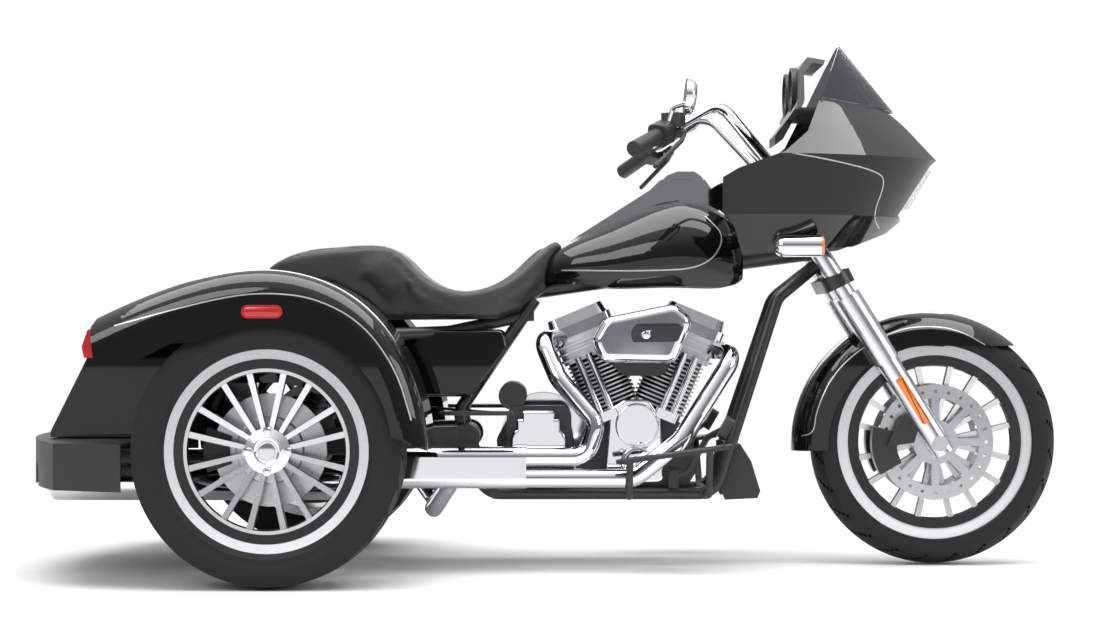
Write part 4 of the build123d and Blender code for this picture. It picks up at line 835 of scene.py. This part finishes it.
def turned_disc(name, body, centre, looking, profile, material):
    """A round piece turned from (reach, height) points about the direction that it looks in."""
    bpy.ops.object.select_all(action="DESELECT")
    bpy.ops.mesh.primitive_circle_add(vertices=len(profile), radius=1)
    disc = bpy.context.object
    disc.name = name
    for vertex, (reach, rise) in zip(disc.data.vertices, profile):
        vertex.co = (reach, 0, rise)
    bpy.ops.object.mode_set(mode="EDIT")
    bpy.ops.mesh.select_all(action="SELECT")
    bpy.ops.mesh.spin(steps=40, angle=2 * pi, center=(0, 0, 0), axis=(0, 0, 1))
    bpy.ops.mesh.select_all(action="SELECT")
    bpy.ops.mesh.remove_doubles(threshold=0.00002)
    bpy.ops.mesh.normals_make_consistent(inside=False)
    bpy.ops.object.mode_set(mode="OBJECT")
    turn = Vector((0, 0, 1)).rotation_difference(Vector(looking)).to_matrix().to_4x4()
    disc.data.transform(Matrix.Translation(centre) @ turn)
    disc.data.materials.append(material)
    bpy.ops.object.shade_smooth_by_angle(angle=radians(35))
    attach(disc, body)
    disc.select_set(False)


cam_face, _ = on_skin("engine_covers", crank_centre, (0, 1, 0))
dome_profile = [
    (0, -0.001), (0.043, -0.001), (0.043, 0.004), (0.040, 0.006), (0.034, 0.006),
    (0.032, 0.003), (0.020, 0.003), (0.018, 0.0055), (0.010, 0.0075), (0, 0.008),
]
turned_disc(
    "cam_cover_dome", "chassis", cam_face, (0, -1, 0), dome_profile, chrome
)

# Signal faces, hub caps and lug screws: a domed amber disc snapped into each plated signal,
# and a stepped, plated cap pressed into each rear hub among four socket screws.
signal_profile = [
    (0, 0), (0.026, 0), (0.027, 0.003), (0.026, 0.010), (0.021, 0.0125), (0.010, 0.014),
    (0, 0.0145),
]
cap_profile = [
    (0, -0.002), (0.034, -0.002), (0.034, 0.003), (0.031, 0.005), (0.027, 0.004),
    (0.025, 0.002), (0.020, 0.002), (0.018, 0.0045), (0, 0.0055),
]
lug_reach = 0.048
lug_radius = 0.0085
for side, side_name in both_sides:
    turned_disc(
        f"signal_lens_{side_name}",
        "chassis",
        centre=(0.674, side * 0.293, 0.822),
        looking=(1, 0, 0),
        profile=signal_profile,
        material=amber,
    )
    rim_name = f"rear_rim_{side_name}"
    wheel_body = f"rear_wheel_{side_name}"
    hub, _ = on_skin(rim_name, (rear_axle_x, 0, rear_tyre_radius), (0, -side, 0))
    turned_disc(
        f"hub_cap_{side_name}",
        wheel_body,
        centre=hub - Vector((0, side * 0.001, 0)),
        looking=(0, side, 0),
        profile=cap_profile,
        material=chrome,
    )
    lugs = []
    for step in range(4):
        angle = pi / 2 * step
        at = (rear_axle_x + lug_reach * cos(angle), 0, rear_tyre_radius + lug_reach * sin(angle))
        lug, _ = on_skin(rim_name, at, (0, -side, 0))
        lugs.append((lug, (0, side, 0)))
    screws(f"lug_screws_{side_name}", wheel_body, lug_radius, lugs)

# Seat: foam on a steel pan under grained black hide, with piped seams. The pad is cut small,
# and the hide swells under the foam's pressure as far as swell_limit.
hide = finish("seat_hide", (0.016, 0.0155, 0.015), (0.03, 0.029, 0.028), (0.42, 0.56), 700, 0.5)
cut_back = 0.003
swell_limit = 0.006
settle_frames = 20
seat_pad = bpy.data.objects.new("seat_pad", nodes["seat"].data.copy())
scene.collection.objects.link(seat_pad)
seat_pad.data.materials.clear()
seat_pad.data.materials.append(hide)
pick(seat_pad)
bpy.ops.object.mode_set(mode="EDIT")
bpy.ops.mesh.select_all(action="SELECT")
bpy.ops.mesh.remove_doubles(threshold=0.0001)
bpy.ops.object.mode_set(mode="OBJECT")
foam = seat_pad.modifiers.new("foam", "REMESH")
foam.mode = "VOXEL"
foam.voxel_size = 0.007
bpy.ops.object.modifier_apply(modifier="foam")
even = seat_pad.modifiers.new("even", "SMOOTH")
even.factor = 0.5
even.iterations = 3
bpy.ops.object.modifier_apply(modifier="even")
bpy.ops.object.mode_set(mode="EDIT")
bpy.ops.mesh.select_all(action="SELECT")
bpy.ops.transform.shrink_fatten(value=-cut_back)
bpy.ops.object.mode_set(mode="OBJECT")
cut = [vertex.co.copy() for vertex in seat_pad.data.vertices]
cover = seat_pad.modifiers.new("cover", "CLOTH")
cover.settings.use_pressure = True
cover.settings.uniform_pressure_force = 4
cover.settings.effector_weights.gravity = 0
for step in range(1, settle_frames + 1):
    scene.frame_set(step)
swollen = seat_pad.evaluated_get(bpy.context.evaluated_depsgraph_get()).data
swell = [vertex.co.copy() for vertex in swollen.vertices]
seat_pad.modifiers.remove(cover)
scene.frame_set(1)
for vertex, before, after in zip(seat_pad.data.vertices, cut, swell):
    move = after - before
    vertex.co = before + move * min(1, swell_limit / max(move.length, 1e-9))
finer = seat_pad.modifiers.new("finer", "SUBSURF")
finer.levels = 1
finer.render_levels = 1
bpy.ops.object.modifier_apply(modifier="finer")
bpy.ops.object.shade_smooth()
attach(seat_pad, "chassis")
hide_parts("seat")
seat_pad.select_set(False)

welt_thickness = 0.0015


def seam(name, node, body, route, material):
    """A sewn welt over a padded piece: route is points and the way that each is looked for."""
    curve = bpy.data.curves.new(name, "CURVE")
    curve.dimensions = "3D"
    curve.bevel_depth = welt_thickness
    curve.bevel_resolution = 3
    found = [on_skin(node, point, toward)[0] for point, toward in route]
    found = [point for point in found if point is not None]
    spline = curve.splines.new("NURBS")
    spline.points.add(len(found) - 1)
    for knot, point in zip(spline.points, found):
        knot.co = (*point, 1)
    spline.order_u = 3
    spline.use_endpoint_u = True
    welt = bpy.data.objects.new(name, curve)
    scene.collection.objects.link(welt)
    pick(welt)
    bpy.ops.object.convert(target="MESH")
    welt = bpy.context.object
    welt.data.materials.clear()
    welt.data.materials.append(material)
    bpy.ops.object.shade_smooth()
    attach(welt, body)
    welt.select_set(False)


def over_the_seat(side_points, top_x, half, rows=9):
    """Up the right side, across the top at top_x, and down the left side."""
    right = [((x, 0, z), (0, 1, 0)) for x, z in side_points]
    across = [
        ((top_x, -half + 2 * half * row / (rows - 1), 0), (0, 0, -1)) for row in range(rows)
    ]
    left = [((x, 0, z), (0, -1, 0)) for x, z in reversed(side_points)]
    return right + across + left


top_half = 0.12
thread = finish("seam_thread", (0.008, 0.008, 0.008), (0.014, 0.014, 0.014), (0.5, 0.6), 2500, 0.6)
seam(
    "seat_nose_seam",
    "seat_pad",
    "chassis",
    over_the_seat([(-0.076, 0.650), (-0.125, 0.662), (-0.160, 0.678)], -0.200, top_half),
    thread,
)
seam(
    "passenger_seam",
    "seat_pad",
    "chassis",
    over_the_seat([(-0.445, 0.725), (-0.440, 0.745), (-0.434, 0.775)], -0.430, top_half),
    thread,
)

# Screen and lamps: a short smoked screen formed from clear plastic sheet, a clear headlamp
# block behind the nose, and red tail lamps set in the backs of the rear fenders.
smoke = finish(
    "smoked_plastic", (0.42, 0.43, 0.45), (0.46, 0.47, 0.49), (0.02, 0.05), 60, 0.0,
    shader={"Transmission Weight": 1.0, "IOR": 1.3},
)
dress(smoke, "windshield")
clear_lens = finish(
    "clear_lens", (0.85, 0.87, 0.9), (0.9, 0.92, 0.94), (0.02, 0.06), 120, 0.05,
    shader={"Transmission Weight": 0.6, "IOR": 1.49},
)
dress(clear_lens, "headlamp")
red_lens = finish(
    "red_lens", (0.42, 0.006, 0.008), (0.5, 0.01, 0.012), (0.08, 0.14), 200, 0.05,
    shader={"Coat Weight": 1.0, "Coat Roughness": 0.03},
)
dress(red_lens, "tail_lamps")

# Plastics: grained black mouldings of the dash, grips, spoiler, bumper and boards. The dash
# holds two dials, each with a printed scale and a red needle on a boss.
moulding = finish(
    "black_moulding", (0.015, 0.015, 0.016), (0.026, 0.026, 0.028), (0.42, 0.55), 1200, 0.4
)
dial_face = finish(
    "dial_face", (0.006, 0.006, 0.007), (0.012, 0.012, 0.013), (0.25, 0.35), 800, 0.1
)
dial_print = finish("dial_print", (0.75, 0.75, 0.72), (0.85, 0.85, 0.82), (0.4, 0.5), 800, 0.05)
dial_height = 1.232
dial_across = 0.078
dial_sweep = radians(250)
ticks_a_number = 4
tick_reach = 0.0385
number_reach = 0.0295
number_size = 0.0085
dial_profile = [
    (0, 0.0), (0.0485, 0.0), (0.0485, 0.006), (0.046, 0.007), (0.044, 0.003), (0, 0.0028),
]
needle_red = finish("needle_red", (0.6, 0.03, 0.01), (0.7, 0.05, 0.02), (0.3, 0.4), 800, 0.05)


def dial(name, across, numbers, pointing):
    """A round gauge on the dash, facing the seat: a rim, a scale with numbers, a needle."""
    place, _ = on_skin("inner_fairing", (0, across, dial_height), (1, 0, 0))
    turned_disc(
        f"{name}_face", "chassis", place, (-1, 0, 0), dial_profile, dial_face
    )
    scale = bmesh.new()
    ticks = ticks_a_number * (len(numbers) - 1)
    for tick in range(ticks + 1):
        angle = dial_sweep / 2 - dial_sweep * tick / ticks
        with_number = tick % ticks_a_number == 0
        tick_width, tick_length = (0.0012, 0.006) if with_number else (0.0006, 0.0035)
        made = bmesh.ops.create_cube(scale, size=1)["verts"]
        size = Matrix.Diagonal((0.0006, tick_width, tick_length, 1))
        lift = Matrix.Translation((-0.0032, 0, tick_reach))
        turned = Matrix.Translation(place) @ Matrix.Rotation(angle, 4, "X")
        bmesh.ops.transform(scale, matrix=turned @ lift @ size, verts=made)
    mesh_piece(f"{name}_scale", scale, "chassis", dial_print)
    for index, number in enumerate(numbers):
        angle = dial_sweep / 2 - dial_sweep * index / (len(numbers) - 1)
        bpy.ops.object.select_all(action="DESELECT")
        bpy.ops.object.text_add(location=(0, 0, 0))
        figure = bpy.context.object
        figure.name = f"{name}_number_{index}"
        figure.data.body = str(number)
        figure.data.size = number_size
        figure.data.extrude = 0.0002
        figure.data.align_x = "CENTER"
        figure.data.align_y = "CENTER"
        figure.rotation_euler = (pi / 2, 0, -pi / 2)
        figure.location = place + Vector(
            (-0.0033, -sin(angle) * number_reach, cos(angle) * number_reach)
        )
        bpy.ops.object.convert(target="MESH")
        bpy.ops.object.transform_apply(location=True, rotation=True, scale=True)
        figure = bpy.context.object
        figure.data.materials.clear()
        figure.data.materials.append(dial_print)
        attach(figure, "chassis")
        figure.select_set(False)
    needle = bmesh.new()
    made = bmesh.ops.create_cone(
        needle, cap_ends=True, segments=12, radius1=0.0016, radius2=0.0004, depth=0.034
    )["verts"]
    stand = Matrix.Translation(place + Vector((-0.0055, 0, 0))) @ Matrix.Rotation(pointing, 4, "X")
    bmesh.ops.transform(needle, matrix=stand @ Matrix.Translation((0, 0, 0.013)), verts=made)
    made = bmesh.ops.create_cone(
        needle, cap_ends=True, segments=24, radius1=0.0045, radius2=0.0038, depth=0.003
    )["verts"]
    boss = Matrix.Translation(place + Vector((-0.0048, 0, 0))) @ Matrix.Rotation(-pi / 2, 4, "Y")
    bmesh.ops.transform(needle, matrix=boss, verts=made)
    mesh_piece(f"{name}_needle", needle, "chassis", needle_red)


dial("speed_dial", dial_across, [0, 20, 40, 60, 80, 100, 120], dial_sweep / 2)
dial("engine_dial", -dial_across, [0, 1, 2, 3, 4, 5, 6], dial_sweep / 2)
dress(moulding, "hand_controls", "inner_fairing", "chin_spoiler", "rear_bumper", "footboards")

# Final drive: a toothed belt of dull black rubber from the gearbox's pulley to the pulley on
# the rear axle.
belt_rubber = finish("belt_rubber", (0.012, 0.012, 0.012), (0.02, 0.02, 0.02), (0.6, 0.7), 900, 0.3)
dress(belt_rubber, "drive_belt")
